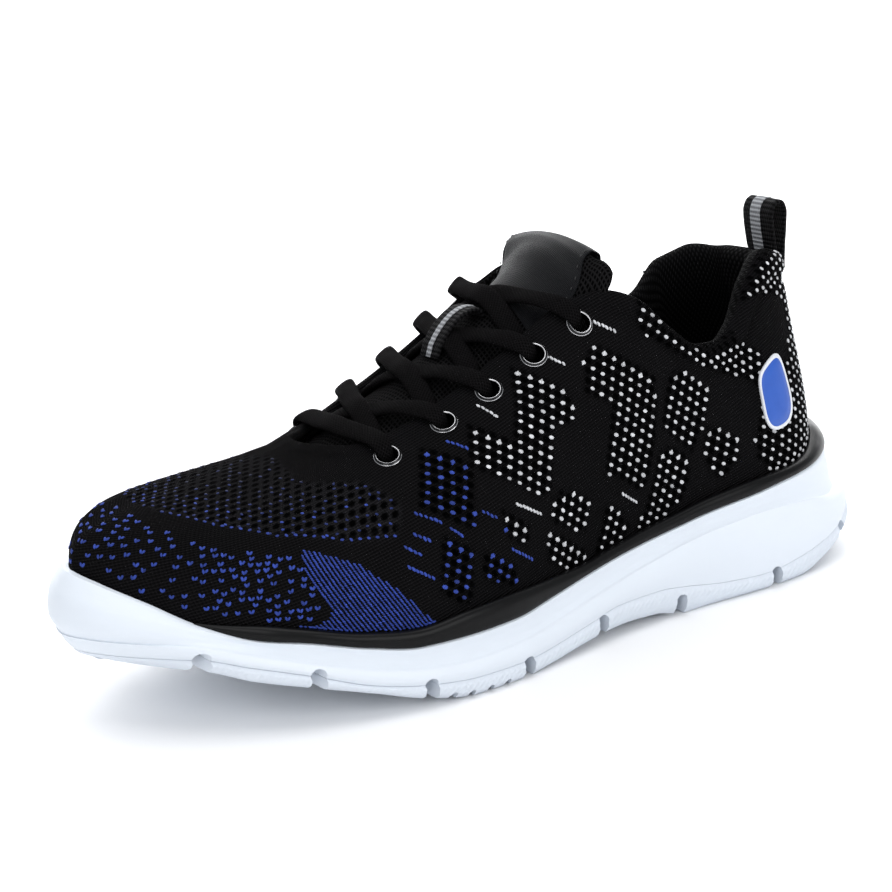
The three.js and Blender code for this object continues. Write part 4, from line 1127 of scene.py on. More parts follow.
# Dotted patches of the knit on the outer side: (reach around the foot, height up the wall), in mm
WHITE_PATCHES = [
    [(158, 68), (140, 53), (141, 45), (146, 45), (149, 48), (155, 26), (159, 26), (171, 34), (183, 41),
     (179, 55), (166, 45), (161, 56)],
    [(176, 27), (165, 19), (166, 12), (174, 17)],
    [(126, 64), (104, 47), (104, 39), (106, 28), (110, 15), (114, 13), (130, 25), (127, 35), (125, 43),
     (125, 46), (135, 52), (132, 63)],
    [(94, 46), (80, 34), (82, 28), (85, 21), (89, 17), (102, 30), (99, 45)],
    [(82, 24), (70, 15), (71, 8), (77, 3.5), (84, 12), (83, 21)],
    [(100, 23), (91, 17), (90, 8), (94, 2), (103, 0), (116, 0), (112, 6), (107, 15), (104, 23)],
    [(131, 15), (123, 10), (118, 2), (126, -1), (136, -1), (132, 8)],
    [(154, 25), (149, 26), (138, 19), (140, 9), (155, 17)],
    [(157, 14), (150, 11), (138, 2), (140, -1), (147, -1), (158, 6)],
]
BLUE_PATCHES = [
    [(196, 53), (184, 44), (182, 38), (186, 23), (192, 26), (203, 34)],
    [(198, 24), (188, 17), (190, 1), (195, 2), (201, 7)],
    [(185, 16), (172, 7), (172, 1), (179, 3), (186, 9)],
    [(176, 21), (174, 21), (174, 19), (176, 19)],
]
HEEL_FIELD = [
    (112, 95), (110, 63), (101, 56), (90, 48), (81, 42), (63, 34), (58, 32), (54, 29), (54, 24), (58, 19),
    (63, 13), (63, 6), (58, 1), (58, -2), (-1, -2), (-1, 95),
]
PLAIN_HEEL = [
    (66, 64), (52, 59), (44, 58), (33, 54), (27, 51), (24, 46), (26, 41), (30, 36), (34, 32), (43, 33),
    (50, 33), (48, 39), (54, 43), (60, 46), (64, 56),
]
WHITE_DASHES = [
    ((173, 59), (169, 54)), ((169, 26), (160, 21)), ((122, 15), (116, 10)), ((125, 71), (119, 66)),
    ((145, 67), (140, 63)),
]
BLUE_DASHES = [
    ((187, 51), (182, 47)), ((204, 33), (197, 28)), ((194, 25), (191, 22)), ((206, 27), (202, 24)),
    ((210, 24), (206, 21)), ((210, 18), (203, 13)), ((182, 27), (178, 24)), ((173, 13), (165, 8)),
]
BLUE_PANEL = [
    (242, 23), (234, 22), (225, 20), (214, 12), (205, 1), (203, -2), (242, -2), (234, 3), (233, 6),
    (237, 12), (240, 16),
]


def in_polygon(points, polygon):
    """Which points lie inside a polygon."""
    x, y = points[:, 0], points[:, 1]
    inside = np.zeros(len(points), bool)
    for (x0, y0), (x1, y1) in zip(polygon, polygon[1:] + polygon[:1]):
        if y0 == y1:
            continue
        crosses = (y0 > y) != (y1 > y)
        inside ^= crosses & (x < (x1 - x0) * (y - y0) / (y1 - y0) + x0)
    return inside


def charted(polygon):
    """A patch with its heights up the wall turned into heights over the floor's level."""
    return [(reach, SKIN.to_rise(max(reach, 0), 0) + height) for reach, height in polygon]


WHITE_CHART = [charted(patch) for patch in WHITE_PATCHES]
BLUE_CHART = [charted(patch) for patch in BLUE_PATCHES]
HEEL_CHART = charted(HEEL_FIELD)
PLAIN_CHART = charted(PLAIN_HEEL)
PANEL_CHART = charted(BLUE_PANEL)


def lattice(polygon, first=HEELWARD, second=TOEWARD, origin=(0.0, 0.0)):
    """Points of a lattice that fall inside a polygon, with their steps along it."""
    corners = np.array(polygon)
    basis = np.column_stack([first, second])
    steps = (np.linalg.inv(basis) @ (corners - origin).T).T
    low, high = np.floor(steps.min(0)).astype(int), np.ceil(steps.max(0)).astype(int)
    m, n = np.meshgrid(np.arange(low[0], high[0] + 1), np.arange(low[1], high[1] + 1), indexing="ij")
    numbers = np.column_stack([m.ravel(), n.ravel()])
    points = numbers @ basis.T + origin
    keep = in_polygon(points, polygon)
    return points[keep], numbers[keep]


# Vamp mesh and toe specks: (reach around the foot, height up the wall), in mm
VAMP_FIELD = [
    (340, 71), (293, 71), (261, 56), (256, 51), (242, 48), (222, 47), (213, 42), (208, 36), (212, 28),
    (228, 27), (250, 27), (272, 29), (295, 29), (340, 29),
]
SPECK_FIELD = [
    (340, 26), (302, 26), (287, 22), (268, 21), (243, 21), (240, 16), (236, 8), (240, -2), (340, -2),
]


def on_plan(polygon, side):
    """Plan view of a patch charted by reach and height up the wall."""
    found = []
    for reach, up in polygon:
        reach = min(reach, SKIN.reach[side][-1])
        point, _, _ = SKIN.place(side, reach, SKIN.to_rise(reach, up))
        found.append((point[0], point[1]))
    return found


VAMP_PLANS = [on_plan(VAMP_FIELD, side) for side in (1, -1)]


def soft_mask(charts, reach, rise, spread=0.9):
    """Share of small shifts of each place that fall inside any of the patches."""
    total = np.zeros(len(reach))
    shifts = [(0, 0), (spread, 0), (-spread, 0), (0, spread), (0, -spread)]
    for dx, dy in shifts:
        at = np.column_stack([reach + dx, rise + dy])
        hit = np.zeros(len(reach), bool)
        for chart in charts:
            hit |= in_polygon(at, chart)
        total += hit
    return total / len(shifts)


def make_upper():
    """Hollow knitted upper: outer face, rounded opening edge, lining and foot."""
    plan, walls = UPPER_PLAN, UPPER_WALLS
    outer = [walls.foot] + list(SKIN.points)
    inner_ts = np.linspace(0, 1, UNDER_WALL + 1)
    base_points, base_normals = walls.grid(inner_ts)
    inner = [p - n * walls.thickness(t)[:, None] for p, n, t in zip(base_points, base_normals, inner_ts)]
    edge = [SKIN.crown + SKIN.across * math.cos(a) + SKIN.upward * math.sin(a)
            for a in np.linspace(0, math.pi, 13)[1:-1]]
    inner_foot = walls.foot.copy()
    inner_foot[:, :2] -= plan.out * WALL
    rows = outer + edge + inner[::-1] + [inner_foot]
    grid = np.array(rows)
    count = len(rows)
    up = np.vstack([np.zeros(AROUND), np.cumsum(np.linalg.norm(np.diff(grid, axis=0), axis=2), axis=0)])
    up = up + plan.line["rim"] - np.linalg.norm(SKIN.points[0] - walls.foot, axis=1)
    around = np.tile(SKIN.around, (count, 1))
    u = np.hstack([around, around[:, :1]])
    v = np.hstack([up, up[:, :1]])
    quads = np.vstack([grid_quads(count, AROUND), last_to_first(count, AROUND)])
    uv = np.vstack([grid_uv(u, v), np.zeros((AROUND, 4, 2))])
    first_inner = len(outer) + len(edge)
    rows_of = np.repeat(np.arange(count), AROUND)
    slots = (rows_of >= first_inner - 6).astype(int)
    flat = grid.reshape(-1, 3)
    reach, rise = around.ravel(), up.ravel()
    dotted = soft_mask(WHITE_CHART + BLUE_CHART, reach, rise)
    heel = soft_mask([HEEL_CHART], reach, rise) * (1 - soft_mask([PLAIN_CHART], reach, rise))
    vamp = soft_mask(VAMP_PLANS, flat[:, 0], flat[:, 1])
    on_outer = rows_of < len(outer) + len(edge) // 2
    piece = make_piece("knit_upper", flat, quads, [BLACK_KNIT, LINING], ["upper"],
                       uv=uv, slots=slots,
                       floats={"dotted": np.maximum(dotted, heel) * on_outer, "vamp": vamp * on_outer})
    return piece


# Tongue
TONGUE_TOP = table_curve(TONGUE, 1)
TONGUE_CROWN = table_curve(TONGUE, 2)
TONGUE_THICKNESS = table_curve(TONGUE, 3)


def tongue_middle(x):
    """Middle line of the tongue, whose free end leans to the inner side."""
    return THROAT_MIDDLE + TONGUE_DRIFT * (1 - smoothstep(0.374, 0.404, x / LENGTH))


def tongue_top(x, y):
    """Height of the tongue's upper face."""
    across = (y - tongue_middle(x)) / TONGUE_HALF_WIDTH
    at = x / LENGTH
    return TONGUE_TOP(at) * COLLAR_HEIGHT - TONGUE_CROWN(at) * TONGUE_HALF_WIDTH * across ** 2


def on_tongue(x, y, height):
    """A point over the tongue's upper face and the direction away from it."""
    step = 0.5
    slope_x = (tongue_top(x + step, y) - tongue_top(x - step, y)) / (2 * step)
    slope_y = (tongue_top(x, y + step) - tongue_top(x, y - step)) / (2 * step)
    up = unit(np.array([-float(slope_x), -float(slope_y), 1.0]))
    return np.array([x, y, float(tongue_top(x, y))]) + up * height, up


def tube_piece(name, rings, materials, replaces):
    """A closed tube through rings of equal length, with flat ends closed across each ring."""
    rings = np.asarray(rings)
    steps, count = rings.shape[:2]
    along = np.linalg.norm(np.diff(rings.mean(1), axis=0), axis=1)
    u = np.repeat(np.concatenate([[0], np.cumsum(along)])[:, None], count + 1, axis=1)
    closed = np.concatenate([rings, rings[:, :1]], axis=1)
    v = np.concatenate([np.zeros((steps, 1)),
                        np.cumsum(np.linalg.norm(np.diff(closed, axis=1), axis=2), axis=1)], axis=1)
    quads = closed_quads(steps, count)
    points = rings.reshape(-1, 3)
    cap_uv = points[quads[(steps - 1) * count:]][:, :, 1:]
    piece = make_piece(name, points, quads, materials, replaces,
                       uv=np.vstack([grid_uv(u, v), cap_uv]))
    return piece


def make_tongue():
    """Padded tongue with a rolled rim along both sides and over its free end."""
    first, last = TONGUE[0, 0], TONGUE[-1, 0]
    across = np.sin(np.linspace(-1, 1, 41) * math.pi / 2)
    rings = []
    for share in np.arange(TONGUE_STEPS + 1) / TONGUE_STEPS:
        at = first + (last - first) * share
        end = smoothstep(0, 0.035, share)
        width = TONGUE_HALF_WIDTH * (1 - 0.1 * math.exp(-((at - 0.402) / 0.016) ** 2))
        width = width * (1 - 0.3 * smoothstep(0.6, last, at))
        width = width * (1 - 0.14 * max(0.0, 1 - share / 0.045) ** 2)
        thick = float(TONGUE_THICKNESS(at)) * TONGUE_HALF_WIDTH
        x = at * LENGTH
        flare = 1 + TONGUE_FLARE * np.maximum(across, 0) * (1 - smoothstep(0.384, 0.402, at))
        y = tongue_middle(x) + across * width * flare
        upper = tongue_top(x, y)
        inside = (1 - np.abs(across)) * width
        side_roll = (TONGUE_ROLL * np.exp(-((inside - 2.2) / 1.8) ** 2)
                     - TONGUE_DIP * np.exp(-((inside - 5.6) / 1.4) ** 2))
        end_roll = 0.5 * math.exp(-((x - first * LENGTH - 2.5) / 2) ** 2)
        round_side = TONGUE_ROUND * (1 - np.sqrt(1 - ((2.0 - inside) / 2.0).clip(0, 1) ** 2))
        round_end = TONGUE_ROUND * (1 - math.sqrt(float(end)))
        wrinkle = TONGUE_WRINKLE * np.sin(x * 0.55 + 0.12 * y) * smoothstep(0.3, 0.9, np.abs(across))
        rounding = np.maximum(round_side, round_end)
        top = upper + side_roll + end_roll - rounding + wrinkle * (1 - np.abs(across) ** 6)
        depth = np.minimum(TONGUE_HEM + (thick - TONGUE_HEM) * (1 - across ** 4), thick)
        bottom = upper - depth + np.minimum(round_side, 1.0) * 0.6 + round_end
        bottom = np.minimum(bottom, top - 0.4)
        upper_row, lower_row = (np.column_stack([np.full(len(y), x), y, z]) for z in (top, bottom))
        rings.append(np.vstack([upper_row, lower_row[::-1]]))
    return tube_piece("mesh_tongue", rings, [BLACK_MESH], ["tongue"])


def ribbon(path, ups, sides, width, thick, columns=17):
    """Rings of a flat strip with rounded edges, along a path with given up and side directions."""
    across = np.sin(np.linspace(-1, 1, columns) * math.pi / 2)
    rings = []
    edge = thick / width
    rim = np.sqrt(np.clip(1 - np.clip((np.abs(across) - 1 + edge) / edge, 0, 1) ** 2, 0.04, 1))
    for point, up, side in zip(path, ups, sides):
        top = [point + side * a * width / 2 + up * thick / 2 * r for a, r in zip(across, rim)]
        low = [point + side * a * width / 2 - up * thick / 2 * r for a, r in zip(across[::-1], rim[::-1])]
        rings.append(top + low)
    return np.array(rings)


def path_frames(path, side):
    """Up and side directions of a path whose strip keeps one side direction."""
    path = np.asarray(path, float)
    along = unit(np.gradient(path, axis=0))
    sides = np.repeat([side], len(path), axis=0).astype(float)
    return unit(np.cross(along, sides)), sides


def label_seat(x):
    """Height of the label over the tongue: padded at the free end, pressed flat under the laces."""
    end = TONGUE[0, 0] * LENGTH
    pressed = smoothstep(end + 0.6 * LABEL_LENGTH, end + LABEL_LENGTH, x)
    return PATCH_SEAT + (PATCH_UNDER - PATCH_SEAT) * pressed


def make_label():
    """Plain satin label lying on the tongue and folded over its end, with a stitched border."""
    end = TONGUE[0, 0] * LENGTH
    columns = np.linspace(-1, 1, 41) * PATCH_HALF
    radius = PATCH_BEND + PATCH_SEAT
    rows = []
    for down in np.linspace(LABEL_FOLD, 0.8, 7):
        drops = 0.8 + (down - 0.8) * (1 - np.abs(columns / PATCH_HALF) ** 3)
        rows.append([(end - PATCH_BEND, y, tongue_top(end, y) - drop, -1, 0)
                     for y, drop in zip(tongue_middle(end) + columns, drops)])
    for turn in np.linspace(0, math.pi / 2, 6)[1:]:
        rows.append([(end + PATCH_LEAD - radius * math.cos(turn), y,
                      tongue_top(end + PATCH_LEAD, y) - PATCH_BEND + radius * math.sin(turn),
                      -math.cos(turn), math.sin(turn)) for y in tongue_middle(end) + columns])
    for x in np.linspace(end + 1.8, end + PATCH_LENGTH, 40):
        middle = float(tongue_middle(x))
        slope = float(tongue_top(x + 0.5, middle) - tongue_top(x - 0.5, middle))
        length = math.hypot(slope, 1)
        rows.append([(x, y, tongue_top(x, y) + label_seat(x), -slope / length, 1 / length)
                     for y in middle + columns])
    rings = []
    for row in rows:
        row = np.array(row, float)
        up = np.column_stack([row[:, 3], np.zeros(len(row)), row[:, 4]])
        top = row[:, :3] + up * PATCH_THICKNESS / 2
        low = row[:, :3] - up * PATCH_THICKNESS / 2
        rings.append(np.vstack([top, low[::-1]]))
    tube_piece("tongue_patch", rings, [LABEL_SATIN], ["tongue_label"])
    dashes = []
    for side in (-1, 1):
        for x in np.arange(end + 3, end + LABEL_LENGTH, STITCH_PITCH):
            places = []
            for at in (x, x + STITCH_LENGTH):
                y = float(tongue_middle(at)) + side * (PATCH_HALF - STITCH_INSET)
                places.append(on_tongue(at, y, float(label_seat(at)) + PATCH_THICKNESS / 2 + 0.1))
            (a, up), (b, _) = places
            dashes.append(((a + b) / 2, up, b - a, STITCH_LENGTH, 0.42, 0.24, 0.5))
    make_dots("label_stitches", dashes, [PLAIN_THREAD])


def make_dots(name, dots, materials, slots=None):
    """Small oval domes, each given by place, normal, long direction, length, width, height and tone."""
    angles = np.arange(DOT_TURNS) / DOT_TURNS * 2 * math.pi
    points, quads, tones, kinds = [], [], [], []
    rings = [(1.0, -0.15), (0.86, 0.55), (0.45, 0.92)]
    for index, (place, normal, long, length, width, height, tone) in enumerate(dots):
        normal = unit(normal)
        across = unit(np.cross(normal, long))
        long = np.cross(across, normal)
        start = len(points)
        for size, lift in rings:
            for a in angles:
                points.append(place + long * (math.cos(a) * length / 2 * size)
                              + across * (math.sin(a) * width / 2 * size) + normal * (lift * height))
        quads.append(closed_quads(len(rings), DOT_TURNS, start))
        tones.extend([tone] * (len(rings) * DOT_TURNS))
        kinds.extend([0 if slots is None else slots[index]] * len(quads[-1]))
    return make_piece(name, points, np.vstack(quads), materials, slots=kinds,
                      floats={"tone": tones})


def smooth_path(points, count):
    """Evenly spread points on a smooth curve through the given ones, of any width."""
    points = np.asarray(points, float)
    ends = np.vstack([2 * points[0] - points[1], points, 2 * points[-1] - points[-2]])
    dense = []
    for k in range(1, len(ends) - 2):
        p0, p1, p2, p3 = ends[k - 1:k + 3]
        for t in np.linspace(0, 1, 12, endpoint=False):
            dense.append(0.5 * (2 * p1 + (p2 - p0) * t + (2 * p0 - 5 * p1 + 4 * p2 - p3) * t ** 2
                                + (3 * p1 - p0 - 3 * p2 + p3) * t ** 3))
    dense.append(points[-1])
    dense = np.array(dense)
    lengths = run_lengths(dense[:, :3])
    want = np.linspace(0, lengths[-1], count)
    return np.column_stack([np.interp(want, lengths, dense[:, k]) for k in range(dense.shape[1])])


def lace_rings(stations, count, around=20):
    """Rings of a lace through stations, each a point, an up direction, a width and a thickness."""
    rows = smooth_path([np.concatenate([p, u, [w, t]]) for p, u, w, t in stations], count)
    path, ups, widths, thicks = rows[:, :3], rows[:, 3:6], rows[:, 6], rows[:, 7]
    for _ in range(LACE_SOFTENING):
        path[1:-1] = path[1:-1] / 2 + (path[:-2] + path[2:]) / 4
        ups[1:-1] = ups[1:-1] / 2 + (ups[:-2] + ups[2:]) / 4
    along = unit(np.gradient(path, axis=0))
    sides = unit(np.cross(along, ups))
    lifts = unit(np.cross(sides, along))
    angles = np.arange(around) / around * 2 * math.pi
    flat = rounded(np.cos(angles), 0.8)
    high = rounded(np.sin(angles), 0.9)
    rings = []
    for point, side, lift, width, thick in zip(path, sides, lifts, widths, thicks):
        rings.append(point + side * flat[:, None] * width / 2 + lift * high[:, None] * thick / 2)
    return np.array(rings)


def lace_start(place, toward):
    """Stations of a lace from inside its eyelet, over the ring, to the edge of the opening."""
    point, normal, edge = place["point"], place["normal"], place["edge"]
    inward = unit(edge - point - normal * np.dot(edge - point, normal))
    ahead = unit(toward - point - normal * np.dot(toward - point, normal))
    ahead = unit(ahead * LACE_STRAIGHT + inward * (1 - LACE_STRAIGHT))
    drift = ahead - inward * np.dot(ahead, inward)
    leave = edge + drift * EYELET_FROM_EDGE / max(np.dot(ahead, inward), 0.5)
    over = GAP + RING_HIGH + LACE_THICKNESS / 2
    return [
        (point - normal * 3.4 + ahead * 0.3, -ahead, 4.6, 2.0),
        (point - normal * 1.3 + ahead * 0.5, -ahead, 4.8, 2.0),
        (point + normal * 0.5 + ahead * 1.1, unit(normal * 0.6 - ahead), 5.2, 2.1),
        (point + normal * (over - 0.15) + ahead * 3.0, unit(normal - 0.35 * ahead), 5.9, 2.1),
        (leave + normal * (over + 0.2) - ahead * 0.8, normal, 6.6, 2.2),
    ]


def cross_stations(start, stop, height):
    """A strand from one eyelet over the tongue to just under the other edge of the opening."""
    stations = lace_start(start, stop["edge"])
    a, b = stations[-1][0], stop["edge"]
    span = math.hypot(b[0] - a[0], b[1] - a[1])
    last = 1 - LACE_DIVE / span
    middle, _ = on_tongue(*(a + (b - a) * 0.4)[:2], LACE_CLEAR)
    taut = a + (middle - a) * 0.5
    bed, _ = on_tongue(taut[0], taut[1], LACE_LOW + 0.5)
    taut[2] = max(taut[2], bed[2])
    stations.append((taut, unit(stations[-1][1] + np.array([0.0, 0.0, 1.0])), LACE_WIDTH, LACE_PUFF))
    for f in (0.4, 0.5, 0.6, 0.7, last):
        at = a + (b - a) * f
        raised = height * smoothstep(0, 1, 1 - abs(f - 0.5) / (last - 0.5))
        early = (LACE_CLEAR - LACE_LOW) * (1 - smoothstep(0.2, 0.45, f))
        point, up = on_tongue(at[0], at[1], LACE_LOW + GAP + float(raised) + float(early))
        stations.append((point, up, LACE_WIDTH, LACE_PUFF))
    for f, lift, width, thick in ((1 - 4 / span, 1.5, 6.0, 2.5), (1 + 1 / span, 1.3, 5.2, 2.0),
                                  (1 + 4.5 / span, 1.2, 4.6, 1.8)):
        at = a + (b - a) * f
        point, up = on_tongue(at[0], at[1], lift)
        stations.append((point, up, width, thick))
    return stations


def make_laces():
    """Bar between the lowest eyelets, then two strands for each crossing above it."""
    low, high = LATERAL_EYELETS[0], MEDIAL_EYELETS[0]
    stations = lace_start(low, high["edge"])
    for f in (0.35, 0.5, 0.65):
        at = low["edge"] + (high["edge"] - low["edge"]) * f
        point, up = on_tongue(at[0] + BAR_BEND * math.sin(math.pi * f), at[1], LACE_CLEAR)
        stations.append((point, up, LACE_WIDTH, LACE_PUFF))
    stations += lace_start(high, low["edge"])[::-1]
    tube_piece("cord_bar", lace_rings(stations, 110), [LACE_CORD], ["lace_bar"])
    for i in range(len(EYELET_BASES) - 1):
        under = cross_stations(LATERAL_EYELETS[i + 1], MEDIAL_EYELETS[i], 0)
        over = cross_stations(MEDIAL_EYELETS[i + 1], LATERAL_EYELETS[i], LACE_OVER - LACE_LOW)
        node = f"lace_cross_{i + 1}"
        tube_piece(f"cord_under_{i + 1}", lace_rings(under, 100), [LACE_CORD], [node])
        tube_piece(f"cord_over_{i + 1}", lace_rings(over, 100), [LACE_CORD], [node])


def circle(point, normal, radius, height, turns):
    """Points of a circle around a normal, at a height over a point."""
    first = unit(np.cross(normal, [0.0, 0.0, 1.0]))
    second = np.cross(normal, first)
    angles = np.arange(turns) / turns * 2 * math.pi
    return [point + normal * height + first * radius * math.cos(a) + second * radius * math.sin(a)
            for a in angles]


def make_eyelet(name, node, place):
    """Dark rolled ring with its barrel through the knit; thin bands at its inner lip and outer edge are
    coloured bright as a painted highlight.
    """
    profile = [
        # radius, height, slot of the band above it (slot 1 is the bright painted highlight)
        (RING_BORE, -WALL, 0), (RING_BORE, -0.5, 0), (RING_BORE + 0.04, 0.1, 0),
        (RING_BORE + 0.1, 0.48, 1), (RING_BORE + 0.26, 0.7, 1), (RING_BORE + 0.44, RING_HIGH, 0),
        (RING_BORE + 0.62, 0.66, 0), (RING_BORE + 0.85, 0.42, 0), (RING_RADIUS - 0.2, 0.22, 1),
        (RING_RADIUS - 0.06, 0.13, 0), (RING_RADIUS, -0.02, 0), (RING_RADIUS - 0.2, -0.12, 0),
        (RING_BORE + 0.25, -0.12, 0), (RING_BORE + 0.25, -WALL, 0),
    ]
    rows = [circle(place["point"], place["normal"], radius, height, RING_TURNS)
            for radius, height, _ in profile]
    count = len(profile)
    quads = np.vstack([grid_quads(count, RING_TURNS), last_to_first(count, RING_TURNS)])
    slots = np.repeat([kind for _, _, kind in profile], RING_TURNS)
    return make_piece(name, np.array(rows).reshape(-1, 3), quads, [EYELET_METAL, EYELET_HIGHLIGHT],
                      [node], slots=slots)


def cylinder_solid(point, normal, radius, half, turns=28):
    """A helper solid that cuts a round hole through the wall."""
    rings = [circle(point, normal, radius, height, turns) for height in (-half, half)]
    return solid_object("hole", np.array(rings).reshape(-1, 3), closed_quads(2, turns))


def make_keeper():
    """Ribbed webbing arch on the tongue, with a reflective stripe along its middle."""
    start = KEEPER_AT * LENGTH - KEEPER_LENGTH / 2
    middle = KEEPER_THICKNESS / 2
    path = []
    for f in np.linspace(0, 1, 61):
        x = start + middle + (KEEPER_LENGTH - 2 * middle) * f
        arch = math.sin(math.pi * f) ** 0.55
        path.append((x, THROAT_MIDDLE, float(tongue_top(x, THROAT_MIDDLE)) + GAP
                     + arch * (KEEPER_ARCH - middle) + 0.2))
    path = smooth_path(path[::4], 90)
    ups, sides = path_frames(path, (0.0, 1.0, 0.0))
    ups = -ups if ups[:, 2].mean() < 0 else ups
    rings = ribbon(path, ups, sides, KEEPER_WIDTH, KEEPER_THICKNESS)
    tube_piece("webbing_keeper", rings, [BLACK_WEBBING], ["lace_keeper"])
    raised = path + ups * (KEEPER_THICKNESS / 2 + 0.05)
    rings = ribbon(raised, ups, sides, KEEPER_WIDTH * KEEPER_STRIPE, STRIPE_THICKNESS, 9)
    tube_piece("keeper_stripe", rings, [STRIPE], [])


def make_pull_loop():
    """Webbing loop behind the collar: one band up, over and down, sewn to the heel."""
    top = UPPER_WALLS.points(1.0)[0]
    t = 1.0
    while UPPER_WALLS.points(t)[0, 2] > top[2] - LOOP_TAIL:
        t -= 0.01
    foot = UPPER_WALLS.points(t)[0]
    middle = foot[0] - 0.3 * GAP - LOOP[0, 1] * LOOP_DEPTH
    half, lean = table_curve(LOOP, 1), table_curve(LOOP, 2)
    thick = LOOP_THICKNESS * 0.86

    def at(up, side):
        reach = max(float(half(up)) * LOOP_DEPTH - thick / 2, 0.06 + thick / 2 * 0.9)
        return (middle + float(lean(up)) * LOOP_DEPTH + side * reach, 0.0, foot[2] + up * LOOP_RISE)

    ups = np.concatenate([np.linspace(LOOP_START, 0.9, 20), [0.94, 0.965]])
    crown = [(middle + float(lean(0.98)) * LOOP_DEPTH, 0.0, foot[2] + 0.985 * LOOP_RISE - thick * 0.1)]
    path = [at(up, 1) for up in ups] + crown + [at(up, -1) for up in ups[::-1]]
    path = smooth_path(path, 170)
    ups, sides = path_frames(path, (0.0, 1.0, 0.0))
    rings = ribbon(path, ups, sides, LOOP_WIDTH, thick)
    tube_piece("webbing_pull", rings, [BLACK_WEBBING], ["pull_loop"])
    outward = ups if (ups[40] @ np.array([1.0, 0, 0])) > 0 else -ups
    raised = path + outward * (thick / 2 + 0.06) + sides * LOOP_WIDTH * STRIPE_ASIDE
    rings = ribbon(raised, outward, sides, LOOP_WIDTH * STRIPE_WIDTH, STRIPE_THICKNESS, 9)
    tube_piece("pull_stripe", rings, [STRIPE], [])


def make_badge():
    """Plain raised patch on the heel's outer side: blue with a pale rounded border."""
    step = 0.02

    def wall(base, up):
        a, b, f = around_foot(base, 1)
        at = np.interp(up, SKIN.ts, np.arange(len(SKIN.ts)))
        k = min(int(at), len(SKIN.ts) - 2)
        g = at - k
        column = SKIN.points[:, a] * (1 - f) + SKIN.points[:, b] * f
        normal = SKIN.normals[:, a] * (1 - f) + SKIN.normals[:, b] * f
        return column[k] * (1 - g) + column[k + 1] * g, unit(normal[k] * (1 - g) + normal[k + 1] * g)

    here = wall(BADGE_BASE, BADGE_UP)[0]
    along = np.linalg.norm(wall(BADGE_BASE + step, BADGE_UP)[0] - here) / step
    upward = np.linalg.norm(wall(BADGE_BASE, BADGE_UP + step)[0] - here) / step
    turns = PATCH_TURNS

    def ring(size, lift):
        made = []
        for a in np.arange(turns) / turns * 2 * math.pi:
            corner = 0.42 if math.sin(a) > 0 else 0.75
            y = rounded(math.sin(a), corner) * PATCH_HEIGHT / 2 * size + PATCH_LIFT
            x = rounded(math.cos(a), corner) * PATCH_WIDTH / 2 * size
            right = x * math.cos(BADGE_TILT) - y * math.sin(BADGE_TILT)
            rise = x * math.sin(BADGE_TILT) + y * math.cos(BADGE_TILT)
            point, normal = wall(BADGE_BASE + right / along, BADGE_UP + rise / upward)
            made.append(point + normal * lift)
        return made

    low, high = 0.15, 1.15
    sections = [
        # size, lift, slot of the band above it
        (0.05, low, 0), (0.5, low, 0), (0.985, low, 1), (1.0, 0.45, 1), (0.99, 0.95, 1), (0.965, high, 1),
        (0.93, high + 0.04, 1), (0.9, high - 0.02, 1), (0.885, high - 0.28, 0), (0.86, high - 0.16, 0),
        (0.6, high - 0.1, 0), (0.3, high - 0.08, 0), (0.05, high - 0.08, 0),
    ]
    points = np.array([ring(size, lift) for size, lift, _ in sections]).reshape(-1, 3)
    slots = np.repeat([kind for _, _, kind in sections[:-1]], turns)
    quads = closed_quads(len(sections), turns)
    slots = np.concatenate([slots, np.zeros(len(quads) - len(slots), int)])
    return make_piece("heel_patch", points, quads, [BADGE_BLUE, BADGE_WHITE],
                      ["side_badge"], slots=slots)


# Yarn of the knit: sizes are length, width and height; tilts are turned from level towards upright
RANDOM = np.random.default_rng(7)
DOT_TILT = math.atan2(1.6, 2.83)
DOT_SIZE = (1.9, 1.25, 0.32)
STAR_TILT = math.atan2(2.2, -1.6)
STAR_SIZE = (1.9, 0.95, 0.34)
DASH_TILT = 1.0
DASH_SIZE = (1.75, 0.9, 0.34)
DASH_PITCH = 1.5
HEEL_REACH = 58

# Toe: chains of the blue panel, and loose stitches on a grid of cells, near the panel and far from it
CHAIN = unit(np.array([-0.5, -0.866]))
CHAIN_PITCH = 1.06
CHAIN_STITCH = 0.74
CHAIN_SIZE = (1.08, 0.6, 0.3)
PANEL_TILT = 0.62
SPECK_SIZE = (1.5, 0.85, 0.24)
SPECK_LEAN = 1.05
SPECK_SHIFT = 0.36
SPECK_CELL = np.array([1.15, 1.0])
SPECK_NEAR = 1.75
SPECK_FAR = 2.9
SPECK_TRIES = 4000
SPECK_KEPT = 0.86

# Vamp: stitches in the open mesh, and the row along its lower border
VAMP_SIZE = (1.2, 0.8)
BORDER_SIZE = (1.35, 0.9)
BORDER_PITCH = 2.7
BORDER_POINTS = slice(8, 13)
VAMP_HIGH = 0.14


def dot_at(side, reach, rise, tilt, size, spread=0.14):
    """One dot on the skin, its long direction turned by tilt from level, rising towards the toe."""
    reach = reach + RANDOM.normal(0, spread)
    rise = rise + RANDOM.normal(0, spread)
    if reach > SKIN.reach[side][-1] - 0.5 or reach < 0:
        return None
    point, normal, from_edge = SKIN.place(side, reach, rise)
    ahead, _, _ = SKIN.place(side, min(reach + 1.0, SKIN.reach[side][-1]), rise)
    above, _, _ = SKIN.place(side, reach, rise + 1.0)
    turned = tilt + RANDOM.normal(0, 0.1)
    long = unit(ahead - point) * math.cos(turned) + unit(above - point) * math.sin(turned)
    length, width, height = size
    swell = RANDOM.normal(1.0, 0.07)
    tone = float(np.clip(RANDOM.normal(0.75, 0.18), 0.2, 1.1))
    return (point + normal * 0.02, normal, long, length * swell, width * swell, height, tone), from_edge


